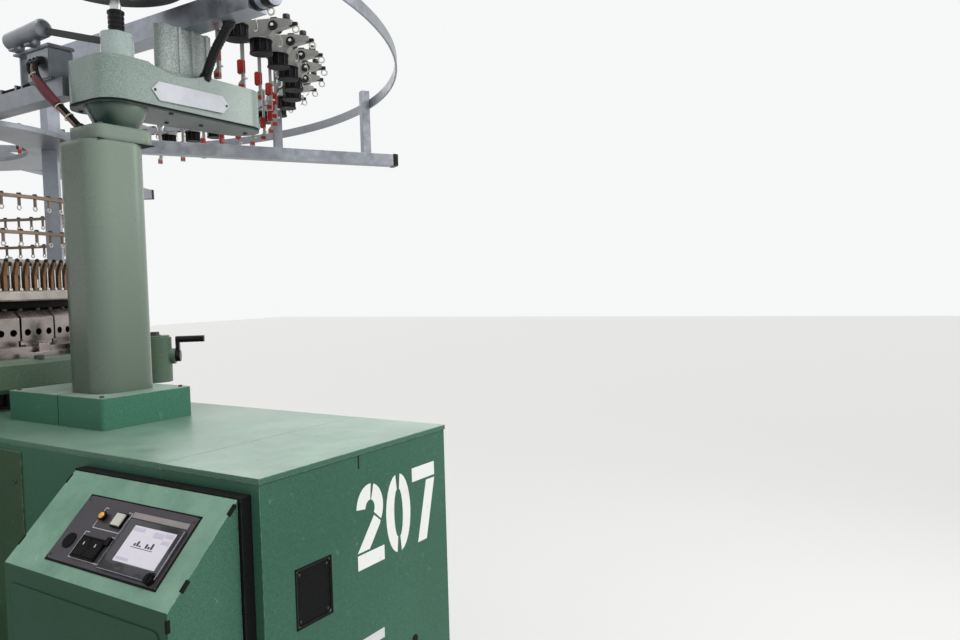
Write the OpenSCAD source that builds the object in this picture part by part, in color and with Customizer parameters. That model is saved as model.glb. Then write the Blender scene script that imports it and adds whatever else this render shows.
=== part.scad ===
// Large-diameter circular knitting machine: round knitting head on a guarded take-down base,
// with its drive housing, control cabinet, column and top frame at the right-hand side.
// Origin: axis of the needle cylinder at floor level. X to the cabinet, -Y to the operator, Z up.

/* [Drive housing and cabinet] */
// Width of the housing and cabinet, front to back
housing_depth = 528; // [440:4:560]
// Gap between the floor and the underside of the housing
floor_gap = 110; // [80:5:140]
// Height of the top covers above the floor
cover_top = 1189; // [1150:1:1215]
// Thickness of the two top covers
cover_t = 10; // [6:1:16]
// Sheet thickness of housing and cabinet
sheet = 6; // [4:1:10]
// Distance from the machine axis to the inner end of the drive housing
housing_start = 560; // [550:5:600]
// Distance from the machine axis to the seam between housing and cabinet
cabinet_seam = 1588; // [1560:1:1620]
// Length of the control cabinet
cabinet_len = 256; // [220:1:300]
// Distance from the machine axis to the right edge of the side panel
panel_seam = 1111; // [1000:1:1160]
// Thickness of the side panel
panel_t = 3; // [2:0.5:5]
// Window recess in the end of the cabinet: width
window_w = 84; // [60:1:110]
// Window recess in the end of the cabinet: height
window_h = 101; // [80:1:140]
// Height of the lower edge of the window recess
window_z = 909; // [860:1:960]

/* [Operator console] */
// Distance from the machine axis to the left side of the console
console_x = 1352; // [1330:1:1360]
// Width of the console
console_w = 464; // [440:1:470]
// How far the console reaches out in front of its collar
console_out = 140; // [120:1:160]
// Drop of the sloping panel from its top edge to its bottom edge
console_drop = 138.5; // [120:0.5:160]
// Height of the top edge of the console
console_top = 1156; // [1120:1:1170]
// Depth of the black collar between console and cabinet
collar_t = 22; // [14:1:30]
// How far the collar stands out beyond the console on the right
collar_lip = 8; // [4:1:12]
// Sheet thickness of the console
console_sheet = 4; // [3:0.5:6]
// Width of the control bezel
bezel_w = 305; // [280:1:330]
// Height of the control bezel, measured down the slope
bezel_h = 124; // [110:1:130]
// Thickness of the control bezel
bezel_t = 2.5; // [2:0.5:4]
// Distance from the top edge of the slope to the bezel
bezel_down = 43; // [36:1:50]
// Distance from the left side of the console to the bezel
bezel_left = 105; // [90:1:120]
// Size of the square start button
button_size = 22; // [18:1:24]
// Travel of the start button
button_travel = 2; // [1:0.5:3]
// Width of a rocker switch
rocker_w = 26; // [20:1:28]
// Length of a rocker switch
rocker_len = 33; // [28:1:36]
// Width of the display frame
display_w = 152; // [140:1:154]
// Height of the display frame
display_h = 92; // [80:1:94]
// Size of the square plate behind the main switch
switch_plate = 64; // [50:1:80]
// Radius of the main switch spindle
switch_spindle_r = 5; // [3:0.5:7]

/* [Column and top arm] */
// Distance from the machine axis to the column axis
column_x = 1035; // [1020:1:1045]
// Side of the square column
column_w = 155; // [140:1:165]
// Corner radius of the column
column_round = 45; // [30:1:55]
// Wall of the hollow column
column_wall = 12; // [8:1:20]
// Height of the top of the column
column_top = 1862; // [1800:1:1880]
// Height of the column base cover
base_cover_h = 73; // [50:1:90]
// Thickness of the green plate on the column
adapter_t = 36; // [24:1:46]
// Upper radius of the dark neck under the top arm
neck_r = 74; // [60:1:76]
// Height of the neck
neck_h = 59; // [40:1:70]
// Radius of the top arm at the column end
arm_r = 55; // [45:1:65]
// Radius of the top arm at its narrow end
arm_tip_r = 62; // [50:1:70]
// Distance between the two end centres of the top arm
arm_len = 420; // [360:1:460]
// Thickness of the top arm casting
arm_t = 107; // [90:1:120]
// Thickness of the cover under the top arm
arm_cover_t = 6; // [4:1:10]
// Radius of the shaft that carries the yarn feed pulley
pulley_shaft_r = 13; // [10:1:14]
// Radius of the yarn feed pulley disc
pulley_r = 166; // [140:1:168]
// Thickness of the yarn feed pulley disc
pulley_t = 25; // [16:1:32]

/* [Top frame] */
// Height of the underside of the radial beams
beam_z = 1995; // [1990:1:2010]
// Width and height of a radial beam
beam_w = 46; // [36:1:50]
// How far a radial beam reaches past the outer ring
beam_over = 100; // [60:5:160]
// Height of the beam ends where the posts stop
post_top = 2290; // [2275:1:2320]
// Mean radius of the outer ring
outer_ring_r = 1540; // [1500:1:1580]
// Height of the strip that forms the outer ring
outer_ring_h = 35; // [25:1:45]
// Radius of the feeder ring, outer face
feeder_ring_r = 1150; // [1140:1:1160]
// Height of the flat bar that forms the feeder ring
feeder_ring_h = 25; // [20:1:30]
// Number of feeder places in a full turn
feeder_places = 54; // [42:6:54]
// Radius of a feeder wheel
feeder_wheel_r = 33; // [26:1:36]
// Side of the cross beam
cross_beam_w = 60; // [50:1:64]
// Height of the underside of the cross beam
cross_beam_z = 2190; // [2185:1:2200]

/* [Knitting head] */
// Radius of the needle circle
needle_r = 381; // [376:1:384]
// Outer radius of the bed ring
bed_r = 680; // [664:1:690]
// Bore of the bed ring
bed_bore_r = 400; // [396:0.5:410]
// Height of the underside of the bed ring
bed_z = 1240; // [1235:1:1250]
// Thickness of the bed ring
bed_t = 85; // [70:1:85]
// Outer radius of the cam boxes
cam_box_r = 510; // [500:1:520]
// Height of a cam box
cam_box_h = 102; // [90:1:104]
// Number of cam boxes round the head
cam_boxes_n = 28; // [20:1:32]
// Height of the stepped ring under the cam boxes
cam_ring_h = 30; // [24:1:32]
// Thickness of the dial cam ring
dial_ring_t = 30; // [20:1:34]
// Outer radius of the dial cam ring
dial_ring_r = 505; // [495:1:508]
// Number of yarn guides round the dial
yarn_guides_n = 96; // [60:1:100]
// Radius of the dial shaft
dial_shaft_r = 25; // [18:1:30]
// Distance from the machine axis to the hand crank gear case
crank_case_at = 707; // [705:1:720]
// Radius of the hand crank gear case
crank_case_r = 52; // [44:1:54]
// Bearing of the hand crank, turned from the cabinet side
crank_angle = 43.5; // [38:0.5:48]
// Radius of the hand crank grip
crank_grip_r = 11; // [8:0.5:14]

/* [Take-down guard] */
// Outer radius of the guard doors
guard_r = 985; // [970:1:1000]
// Outer radius of the guard at its top edge
shoulder_r = 665; // [662:1:675]
// Height of the bottom edge of the guard
guard_z = 50; // [40:1:60]
// Height where the doors end and the sloping shoulder begins
shoulder_z = 785; // [740:1:820]
// Height of the top edge of the shoulder
shoulder_top = 1185; // [1160:1:1187]
// Sheet thickness of the guard
guard_t = 4; // [3:0.5:6]
// Radius of a door hinge pin
door_pin_r = 5; // [4:0.5:6]
// Side of a vent hole in a door
vent = 22; // [16:1:26]

/* [Take-down] */
// Radius of a take-down roller
roller_r = 33; // [24:1:33]
// Height of the take-down rollers
roller_z = 700; // [600:10:800]
// Distance from the machine axis to the outer face of a take-down upright
upright_x = 430; // [410:1:440]
// Thickness of a take-down upright
upright_t = 30; // [20:1:40]
// Radius of a roller journal
journal_r = 12; // [8:0.5:16]
// Radius of the pivot pin in the base
pivot_r = 20; // [15:0.5:26]

/* [Base] */
// Height of the underside of the base
base_z = 50; // [45:1:60]
// Height of the base arms
base_h = 60; // [50:1:70]
// Width of a base arm
base_arm_w = 150; // [120:1:180]
// Radius of a levelling foot
foot_r = 45; // [35:1:60]

/* [Hidden] */
$fn = 64;

// Clearance between a loose piece and its seat
seat = 0.3;
// Radial clearance of a running fit
fit = 0.05;

half_depth = housing_depth / 2;
cabinet_end = cabinet_seam + cabinet_len;
housing_top = cover_top - cover_t;
collar_front = -half_depth - collar_t;
console_foot = floor_gap + 2;
console_right = console_x + console_w;
slope_tilt = atan(console_drop / console_out);
slope_len = sqrt(console_out * console_out + console_drop * console_drop);
bezel_x = console_x + bezel_left;
control_z = bezel_t;
display_left = 147;
display_down = 26;
knob_in = 12;
knob_up = 4;
knob_at = [bezel_x + display_left + display_w - knob_in, bezel_down + display_down + display_h - knob_up];

adapter_top = column_top + adapter_t;
arm_z = adapter_top + neck_h;
arm_top = arm_z + arm_t + arm_cover_t;
pulley_at = [column_x + 15, 45];
boss_top = arm_top + 66;
pulley_z = arm_top + 190;
arm_front = -30;
arm_left = column_x - 115;
arm_side = column_x + 77;

beam_top = beam_z + beam_w;
beam_azimuths = [60, 120, 180, 240, 300];
feeder_ring_z = 2225;
feeder_ring_t = 10;
feeder_pitch = 360 / feeder_places;
feeder_free = 16;
feeder_azimuths = [for (k = [0 : feeder_places - 1])
  if ((k + 0.5) * feeder_pitch > feeder_free && (k + 0.5) * feeder_pitch < 360 - feeder_free)
    (k + 0.5) * feeder_pitch];
wheel_at = feeder_ring_r + 40;
wheel_top = feeder_ring_z - 3;
wheel_z = wheel_top - 42;
tab_z = arm_top + 12;
beam_reach = outer_ring_r + beam_over;
hub_ring_z = beam_z - 15;
hub_ring_r = dial_ring_r + 15;
hub_bore_r = 330;

bed_top = bed_z + bed_t;
cam_ring_top = bed_top + cam_ring_h;
cam_box_top = cam_ring_top + cam_box_h;
dial_ring_z = cam_box_top + 28;
dial_ring_top = dial_ring_z + dial_ring_t;
dial_top = dial_ring_z - 0.4;
dial_disc_z = cam_box_top + 5;
carrier_z = dial_ring_top + 45;
carrier_top = carrier_z + 50;
stud_ring_r = dial_ring_r - 5;
stud_ring_zs = [carrier_top + 75, carrier_top + 180];
crank_z = bed_z + 44;

leg_in = 540;
leg_out = 640;
leg_w = 110;
base_top = base_z + base_h;
arm_end = sqrt(pow(guard_r - 20, 2) - pow(base_arm_w / 2, 2)) - seat;
foot_at = guard_r - 95;
pivot_top = base_top + 90;
takedown_z = pivot_top + 5;
gear_z = 1180;
nip = roller_r + 0.5;
roller_y = [-nip, nip];

hoop_t = 12;
hoop_in = guard_r - 20;
guard_cut = half_depth + panel_t + 5;
side_post_a = 17.4;
door_gap = 0.4;
door_a0 = side_post_a + door_gap;
door_a1 = 54;
post_half = 2.6;
door_b0 = 60;
door_b1 = 100;
door_z0 = guard_z + hoop_t + 2;
door_z1 = shoulder_z - hoop_t - 2;
pin_r_at = guard_r - 9.6;
pin_off = 0.5;

module slab(x0, x1, y0, y1, z0, z1) {
  translate([x0, y0, z0])
    cube([x1 - x0, y1 - y0, z1 - z0]);
}

module disc(r, z0, z1) {
  translate([0, 0, z0])
    cylinder(h = z1 - z0, r = r, $fn = r > 300 ? 192 : 64);
}

module ring(ri, ro, z0, z1) {
  difference() {
    disc(ro, z0, z1);
    disc(ri, z0 - 1, z1 + 1);
  }
}

module band(ri, ro, a0, a1, z0, z1) {
  rotate([0, 0, a0])
    rotate_extrude(angle = a1 - a0, $fn = 256)
      translate([ri, z0])
        square([ro - ri, z1 - z0]);
}

module around(azimuths) {
  for (a = azimuths)
    rotate([0, 0, a])
      children();
}

// Rounded rectangle from its corner, made of squares and circles
module round_rect(w, h, r) {
  translate([r, 0])
    square([w - 2 * r, h]);
  translate([0, r])
    square([w, h - 2 * r]);
  for (x = [r, w - r], y = [r, h - r])
    translate([x, y])
      circle(r = r);
}

module round_slab(x0, x1, y0, y1, z0, z1, r) {
  translate([x0, y0, z0])
    linear_extrude(z1 - z0)
      round_rect(x1 - x0, y1 - y0, r);
}

// Upright profile in radius and height, given a width across the radius
module radial_plate(points, w) {
  translate([0, w / 2, 0])
    rotate([90, 0, 0])
      linear_extrude(w)
        polygon(points);
}

// Local frame on the console slope: x along the machine, y up the slope, z out of it
module on_slope(x, s) {
  translate([x, collar_front, console_top])
    rotate([slope_tilt, 0, 0])
      translate([0, -s, 0])
        children();
}

module levelling_foot(top) {
  disc(foot_r, 0, 14);
  translate([0, 0, 14])
    cylinder(h = 10, r1 = foot_r * 0.7, r2 = 16);
  disc(14, 24, top);
}

module levelling_feet() {
  color("dimgray") {
    levelling_foot(base_z);
    around([60, 180, 300])
      translate([foot_at, 0, 0])
        levelling_foot(base_z);
    for (x = [panel_seam - 60, cabinet_seam - 120, cabinet_end - 60], y = [-1, 1])
      translate([x, y * (half_depth - 60), 0])
        levelling_foot(floor_gap);
  }
}

module base_frame() {
  color("darkslategray")
    difference() {
      union() {
        disc(260, base_z, base_top + 20);
        around([60, 180, 300]) {
          slab(0, arm_end, -base_arm_w / 2, base_arm_w / 2, base_z, base_top);
          slab(leg_in, leg_out, -leg_w / 2, leg_w / 2, base_top, bed_z);
        }
        slab(0, cabinet_seam - 60, -base_arm_w, base_arm_w, base_z + 20, floor_gap);
        disc(60, base_top, pivot_top);
      }
      disc(pivot_r + fit, base_top + 5, pivot_top + 1);
    }
}

module bed_ring() {
  color("seagreen")
    difference() {
      union() {
        rotate_extrude($fn = 128)
          polygon([
            [bed_bore_r, bed_z],
            [bed_r - 12, bed_z],
            [bed_r, bed_z + 12],
            [bed_r, bed_top - 10],
            [bed_r - 10, bed_top],
            [bed_bore_r, bed_top]
          ]);
        for (y = [-1, 1])
          translate([housing_start + 60, y * 140, 0])
            disc(30, cover_top, bed_z + 5);
      }
      rotate([0, 0, crank_angle])
        translate([crank_case_at, 0, 0])
          disc(crank_case_r + seat, bed_z - 1, bed_top + 1);
    }
}

module drive_housing() {
  color("seagreen")
    difference() {
      slab(housing_start, cabinet_seam, -half_depth, half_depth, floor_gap, housing_top);
      slab(housing_start + sheet, cabinet_seam - sheet, sheet - half_depth, half_depth - sheet,
        floor_gap + sheet, housing_top + 1);
    }
}

module control_cabinet() {
  color("seagreen")
    difference() {
      union() {
        difference() {
          slab(cabinet_seam, cabinet_end, -half_depth, half_depth, floor_gap, housing_top);
          slab(cabinet_seam + sheet, cabinet_end - sheet, sheet - half_depth, half_depth - sheet,
            floor_gap + sheet, housing_top + 1);
        }
        slab(cabinet_end - 26 - sheet, cabinet_end - 1, -190 - sheet, window_w - 190 + sheet,
          window_z - sheet, window_z + window_h + sheet);
      }
      translate([cabinet_end - 26, -190, window_z])
        rotate([90, 0, 90])
          linear_extrude(40)
            round_rect(window_w, window_h, 10);
    }
}

module left_top_cover() {
  color("mediumseagreen")
    slab(housing_start, cabinet_seam - 1, -half_depth, half_depth, housing_top, cover_top);
}

module right_top_cover() {
  color("mediumseagreen")
    slab(cabinet_seam, cabinet_end + 2, -half_depth - 2, half_depth + 2, housing_top, cover_top);
}

module side_panel() {
  color("olivedrab")
    slab(700, panel_seam, -half_depth - panel_t, -half_depth, floor_gap + 30, housing_top - 14);
}

module console_collar() {
  color("black")
    slab(console_x - 1, console_right + collar_lip, collar_front, -half_depth, console_foot,
      console_top + 4);
}

module console_profile(wall) {
  lift = wall == 0 ? 0 : wall / cos(slope_tilt);
  slope = console_drop / console_out;
  polygon([
    [wall, console_top - slope * wall - lift],
    [console_out - wall, console_top - slope * (console_out - wall) - lift],
    [console_out - wall, console_foot + wall],
    [wall, console_foot + wall]
  ]);
}

module console_box() {
  color("mediumseagreen")
    translate([console_x, collar_front, 0])
      difference() {
        rotate([90, 0, 90])
          linear_extrude(console_w)
            mirror([1, 0])
              console_profile(0);
        translate([console_sheet, 0, 0])
          rotate([90, 0, 90])
            linear_extrude(console_w - 2 * console_sheet)
              mirror([1, 0])
                console_profile(console_sheet);
        translate([console_w / 2, -console_out, 700])
          rotate([90, 0, 0])
            cylinder(h = 20, r = switch_spindle_r + fit, center = true);
      }
}

module console_front_panel() {
  front = collar_front - console_out;
  color("mediumseagreen")
    difference() {
      translate([console_x + 20, front, console_foot + 30])
        rotate([90, 0, 0])
          linear_extrude(2)
            round_rect(console_w - 40, console_top - console_drop - console_foot - 60, 12);
      translate([console_x + console_w / 2, front, 700])
        rotate([90, 0, 0])
          cylinder(h = 10, r = switch_spindle_r + fit, center = true);
    }
}

module main_switch_plate() {
  front = collar_front - console_out - 2;
  color("gold")
    difference() {
      translate([console_x + (console_w - switch_plate) / 2, front, 700 - switch_plate / 2])
        rotate([90, 0, 0])
          linear_extrude(6)
            round_rect(switch_plate, switch_plate, 4);
      translate([console_x + console_w / 2, front, 700])
        rotate([90, 0, 0])
          cylinder(h = 20, r = switch_spindle_r + fit, center = true);
    }
}

module main_switch() {
  front = collar_front - console_out - 8 - seat;
  color("red")
    translate([console_x + console_w / 2, front, 700])
      rotate([90, 0, 0]) {
        cylinder(h = 10, r = 19);
        translate([-5, -23, 9])
          cube([10, 46, 14]);
        translate([0, 0, -12])
          cylinder(h = 13, r = switch_spindle_r);
      }
}

module console_bezel() {
  color("dimgray")
    on_slope(bezel_x, bezel_down + bezel_h)
      difference() {
        linear_extrude(bezel_t)
          difference() {
            square([bezel_w, bezel_h]);
            for (x = [0, bezel_w], y = [0, bezel_h])
              translate([x, y])
                rotate(45)
                  square(7, center = true);
          }
        translate([knob_at[0] - bezel_x, bezel_down + bezel_h - knob_at[1], -1])
          cylinder(h = bezel_t + 2, r = 3 + fit);
      }
}

module display() {
  color("gray")
    on_slope(bezel_x + display_left, bezel_down + display_down + display_h)
      translate([0, 0, control_z])
        difference() {
          linear_extrude(3)
            difference() {
              round_rect(display_w, display_h, 5);
              translate([display_w - knob_in, knob_up])
                circle(r = 12);
              translate([display_w - knob_in, -1])
                square([20, 13]);
            }
          translate([26, 17, 2])
            linear_extrude(3)
              round_rect(display_w - 41, display_h - 26, 1);
        }
}

module rocker_well(x, s) {
  translate([x, -s, 0])
    difference() {
      translate([-rocker_w / 2 - 3, -rocker_len / 2 - 3, 0])
        cube([rocker_w + 6, rocker_len + 6, 6]);
      translate([-rocker_w / 2 - 0.4, -rocker_len / 2 - 0.4, 1])
        cube([rocker_w + 0.8, rocker_len + 0.8, 10]);
      translate([0, 0, rocker_axle_z])
        rotate([0, 90, 0])
          cylinder(h = rocker_w + 4, r = 1.5 + fit, center = true);
    }
}

rocker_s = bezel_down + 92.5;
rocker_axle_z = 3.6;
rocker_xs = [bezel_x + 81, bezel_x + 81 + rocker_w + 7];
button_at = [bezel_x + 125, bezel_down + 34.5];

module switch_block() {
  color("black")
    on_slope(0, 0)
      translate([0, 0, control_z]) {
        for (x = rocker_xs)
          rocker_well(x, rocker_s);
        translate([button_at[0], -button_at[1], 0])
          difference() {
            translate([-button_size / 2 - 2.5, -button_size / 2 - 2.5, 0])
              cube([button_size + 5, button_size + 5, 4.8]);
            translate([-button_size / 2 - 0.4, -button_size / 2 - 0.4, 1.6])
              cube([button_size + 0.8, button_size + 0.8, 20]);
            translate([0, 0, -1])
              cylinder(h = 10, r = 4 + fit);
          }
        translate([bezel_x + 30, -bezel_down - 87, 0])
          cylinder(h = 2, r = 14);
        translate([bezel_x + 77, -bezel_down - 34, 0])
          cylinder(h = 6, r = 7);
        translate([bezel_x + 137, -bezel_down - 74, 0])
          translate([-5, -7, 0])
            cube([10, 14, 7]);
      }
}

module start_button() {
  color("white")
    on_slope(button_at[0], button_at[1])
      translate([0, 0, control_z]) {
        translate([-button_size / 2, -button_size / 2, 1.6 + button_travel + seat])
          cube([button_size, button_size, 4]);
        translate([0, 0, button_travel + 0.1])
          cylinder(h = 3.5, r = 4);
      }
}

module rocker(x) {
  on_slope(x, rocker_s)
    translate([0, 0, control_z + rocker_axle_z]) {
      translate([-rocker_w / 2, 0, 0])
        rotate([90, 0, 90])
          linear_extrude(rocker_w)
            polygon([
              [-rocker_len / 2 + 0.6, 3.2],
              [-rocker_len / 2 + 0.6, 1],
              [-4, -1],
              [0, -2],
              [4, -1],
              [rocker_len / 2 - 0.6, 1],
              [rocker_len / 2 - 0.6, 3.2],
              [0, 1.8]
            ]);
      rotate([0, 90, 0])
        cylinder(h = rocker_w + 3, r = 1.5, center = true);
    }
}

module rocker_left() {
  color("black")
    rocker(rocker_xs[0]);
}

module rocker_right() {
  color("black")
    rocker(rocker_xs[1]);
}

module selector_knob() {
  color("black")
    on_slope(knob_at[0], knob_at[1]) {
      translate([0, 0, 0.5])
        cylinder(h = bezel_t + 1, r = 3);
      translate([0, 0, bezel_t + seat])
        cylinder(h = 9, r = 9);
      translate([-1.5, -8, bezel_t + 8])
        cube([3, 16, 3]);
    }
}

module column_outline(grow) {
  w = column_w + 2 * grow;
  translate([column_x - w / 2, -w / 2])
    round_rect(w, w, column_round + grow);
}

module column_base_cover() {
  z1 = cover_top + base_cover_h;
  color("seagreen")
    difference() {
      round_slab(column_x - 260, column_x + 143, -119, 119, cover_top, z1, 8);
      round_slab(column_x - 256, column_x + 139, -115, 115, cover_top - 1, z1 - 4, 5);
      translate([0, 0, cover_top - 2])
        linear_extrude(base_cover_h + 4)
          column_outline(seat);
      slab(column_x - 16, column_x - 14.5, -130, 130, z1 - 1.5, z1 + 1);
    }
}

module main_column() {
  color("seagreen")
    translate([0, 0, cover_top])
      linear_extrude(column_top - cover_top)
        difference() {
          column_outline(0);
          column_outline(-column_wall);
        }
}

module column_adapter() {
  left = column_x - column_w / 2 + 28;
  color("seagreen")
    round_slab(left, column_x + column_w / 2, -column_w / 2 + 22, column_w / 2 + 16,
      column_top, adapter_top, 18);
  color("darkslategray")
    translate([column_x, arm_front + neck_r + 1, adapter_top])
      cylinder(h = neck_h, r1 = neck_r - 28, r2 = neck_r);
}

// Direction in which the common tangent of two circles touches them, the hull on its left
function tangent_at(c, d, rc, rd) =
  atan2(d[1] - c[1], d[0] - c[0]) - acos((rc - rd) / norm(d - c));

function rim_point(c, r, a) = c + r * [cos(a), sin(a)];

// Plan of the tapered arm: three rounded corners joined by their common tangents
module arm_outline(grow) {
  at = [
    [arm_left + arm_r, arm_front + arm_r],
    [arm_side - arm_r, arm_front + arm_r],
    [column_x, arm_len]
  ];
  radii = [arm_r + grow, arm_r + grow, arm_tip_r + grow];
  for (k = [0 : 2])
    translate(at[k])
      circle(r = radii[k]);
  polygon([
    for (k = [0 : 2])
      let (j = (k + 1) % 3, a = tangent_at(at[k], at[j], radii[k], radii[j]))
        each [rim_point(at[k], radii[k], a), rim_point(at[j], radii[j], a)]
  ]);
}

module top_arm_cover() {
  color("seagreen")
    translate([0, 0, arm_z])
      linear_extrude(arm_cover_t)
        arm_outline(0);
}

module top_arm() {
  low = arm_z + arm_cover_t;
  color("seagreen")
    difference() {
      union() {
        translate([0, 0, low])
          linear_extrude(3)
            arm_outline(-3);
        translate([0, 0, low + 3])
          linear_extrude(arm_t - 3)
            arm_outline(0);
        translate([pulley_at[0], pulley_at[1], 0])
          disc(38, arm_top - 1, boss_top);
      }
      translate([arm_side - 28, bracket_y - 25, arm_top - 18 + dip_r])
        rotate([0, 90, 0])
          cylinder(h = 60, r = dip_r, $fn = 180);
      translate([pulley_at[0], pulley_at[1], 0])
        disc(pulley_shaft_r + fit, low + 20, boss_top + 1);
    }
}

module shaft_sleeve() {
  color("black")
    translate([pulley_at[0], pulley_at[1], 0])
      difference() {
        union() {
          disc(pulley_shaft_r + 4, boss_top, boss_top + 57);
          for (k = [0 : 4])
            disc(pulley_shaft_r + 6, boss_top + 3 + k * 11, boss_top + 9 + k * 11);
        }
        disc(pulley_shaft_r + fit, boss_top - 1, boss_top + 58);
      }
}

module yarn_feed_pulley() {
  color("dimgray")
    translate([pulley_at[0], pulley_at[1], 0]) {
      disc(pulley_shaft_r, arm_z + arm_cover_t + 20.5, pulley_z);
      difference() {
        union() {
          disc(pulley_r - 5, pulley_z, pulley_z + pulley_t);
          disc(pulley_r, pulley_z, pulley_z + 4);
          disc(pulley_r, pulley_z + pulley_t - 4, pulley_z + pulley_t);
        }
        for (a = [0 : 60 : 300])
          rotate([0, 0, a])
            translate([pulley_r * 0.6, 0, 0])
              disc(24, pulley_z - 1, pulley_z + pulley_t + 1);
      }
    }
}

bracket_y = 198;
dip_r = 210;
cross_beam_y = 215;
cross_beam_x = [300, 1330];

module beam_bracket() {
  x0 = column_x - 15;
  color("seagreen")
    translate([0, 0, arm_top])
      linear_extrude(cross_beam_z - arm_top) {
        translate([x0, bracket_y])
          square([54, 98]);
        for (y = [bracket_y + 4, bracket_y + 44, bracket_y + 90])
          translate([x0 + 53, y])
            square([7, 8]);
        for (x = [x0, x0 + 46])
          translate([x, bracket_y + 97])
            square([8, 12]);
        translate([x0 + 36, bracket_y - 28])
          circle(r = 22);
        translate([x0 + 18, bracket_y - 28])
          square([36, 29]);
      }
}

module cross_beam() {
  z1 = cross_beam_z + cross_beam_w;
  mid = cross_beam_y + cross_beam_w / 2;
  color("gray") {
    slab(cross_beam_x[0], cross_beam_x[1], cross_beam_y, cross_beam_y + cross_beam_w,
      cross_beam_z, z1);
    slab(360, 400, mid - 20, mid + 20, beam_z, cross_beam_z);
    translate([cross_beam_x[1], mid, cross_beam_z + cross_beam_w / 2])
      rotate([0, 90, 0])
        cylinder(h = 60, r = 27);
  }
}

module hub_ring() {
  color("silver")
    ring(hub_bore_r, hub_ring_r, hub_ring_z, beam_z);
}

module radial_beams() {
  color("silver") {
    around(beam_azimuths) {
      slab(hub_bore_r, beam_reach, -beam_w / 2, beam_w / 2, beam_z, beam_top);
      slab(beam_reach, beam_reach + 8, -beam_w / 2 - 2, beam_w / 2 + 2, beam_z - 2, beam_top + 2);
    }
    slab(hub_bore_r, arm_left - seat, -beam_w / 2, beam_w / 2, beam_z, beam_top);
  }
}

module ring_posts() {
  color("silver")
    around(beam_azimuths) {
      slab(feeder_ring_r + 0.4, feeder_ring_r + 30, -15, 15, beam_top, post_top - 20);
      slab(outer_ring_r - 36, outer_ring_r - 3.5, -16.5, 16.5, beam_top, post_top);
    }
}

module outer_ring() {
  mid = 2240;
  color("silver")
    ring(outer_ring_r - 3, outer_ring_r + 3, mid - outer_ring_h / 2, mid + outer_ring_h / 2);
}

module feeder_ring() {
  a0 = asin((cross_beam_y + cross_beam_w + seat) / (feeder_ring_r - feeder_ring_t));
  color("silver")
    band(feeder_ring_r - feeder_ring_t, feeder_ring_r, a0, 360 - feeder_free, feeder_ring_z,
      feeder_ring_z + feeder_ring_h);
}

module feeder_bodies() {
  in = feeder_ring_r - feeder_ring_t - 0.4;
  low = feeder_ring_z + feeder_ring_h;
  color("beige")
    around(feeder_azimuths) {
      radial_plate([
        [in - 8, low + 25],
        [in - 8, low],
        [feeder_ring_r + 0.4, low],
        [feeder_ring_r + 0.4, feeder_ring_z - 1],
        [wheel_at + 30, feeder_ring_z - 1],
        [wheel_at + 46, low - 6],
        [wheel_at + 100, low + 6],
        [wheel_at + 100, low + 18],
        [wheel_at + 60, low + 25]
      ], 30);
      radial_plate([
        [in - 12, low + 20],
        [in - 12, tab_z + 30],
        [in - 22, tab_z + 18],
        [in - 22, tab_z],
        [in - 4, tab_z],
        [in - 4, low],
        [in - 4, low + 20]
      ], 10);
      translate([wheel_at + 80, 0, low + 12])
        cylinder(h = 26, r = 10);
    }
}

module feeder_wheels() {
  color("black")
    around(feeder_azimuths)
      translate([wheel_at, 0, 0])
        rotate_extrude($fn = 48)
          polygon([
            [0, wheel_z],
            [feeder_wheel_r, wheel_z],
            [feeder_wheel_r, wheel_z + 4],
            [feeder_wheel_r - 5, wheel_z + 8],
            [feeder_wheel_r - 5, wheel_top - 10],
            [feeder_wheel_r, wheel_top - 6],
            [feeder_wheel_r, wheel_top],
            [6, wheel_top],
            [6, wheel_top + 2],
            [0, wheel_top + 2]
          ]);
}

module dial_carrier() {
  color("gray")
    difference() {
      union() {
        disc(300, dial_ring_top, carrier_z);
        disc(stud_ring_r - 60, carrier_z, carrier_top);
        around([52, 172, 292])
          translate([400, 0, 0])
            slab(-22.5, 22.5, -22.5, 22.5, carrier_top - 2, hub_ring_z);
      }
      disc(dial_shaft_r + fit, dial_ring_top - 1, carrier_top + 1);
    }
}

module dial_cam_ring() {
  color("silver")
    difference() {
      rotate_extrude($fn = 128)
        polygon([
          [0, dial_ring_z],
          [dial_ring_r - 4, dial_ring_z],
          [dial_ring_r, dial_ring_z + 4],
          [dial_ring_r, dial_ring_top - 4],
          [dial_ring_r - 4, dial_ring_top],
          [0, dial_ring_top]
        ]);
      disc(dial_shaft_r + fit, dial_ring_z - 1, dial_ring_top + 1);
    }
}

module dial() {
  color("silver") {
    disc(needle_r - 5, dial_disc_z, dial_top);
    disc(dial_shaft_r, dial_disc_z, carrier_top + 60);
  }
}

module yarn_guides() {
  r = dial_ring_r - 35;
  z = dial_ring_top;
  color("saddlebrown")
    around([for (k = [0 : yarn_guides_n - 1]) k * 360 / yarn_guides_n])
      radial_plate([
        [r, z],
        [r + 18, z],
        [r + 18, z + 44],
        [r + 30, z + 84],
        [r + 24, z + 90],
        [r + 8, z + 54],
        [r, z + 44]
      ], 10);
}

module stud_rings() {
  color("peru") {
    for (z = stud_ring_zs) {
      ring(stud_ring_r - 6, stud_ring_r + 6, z - 5, z + 5);
      around([3 : 6 : 357])
        translate([stud_ring_r, 0, 0])
          disc(4.5, z - 27, z);
    }
    around([30 : 60 : 330])
      translate([stud_ring_r, 0, 0])
        disc(6, stud_ring_zs[0] - 3, hub_ring_z);
  }
}

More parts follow.
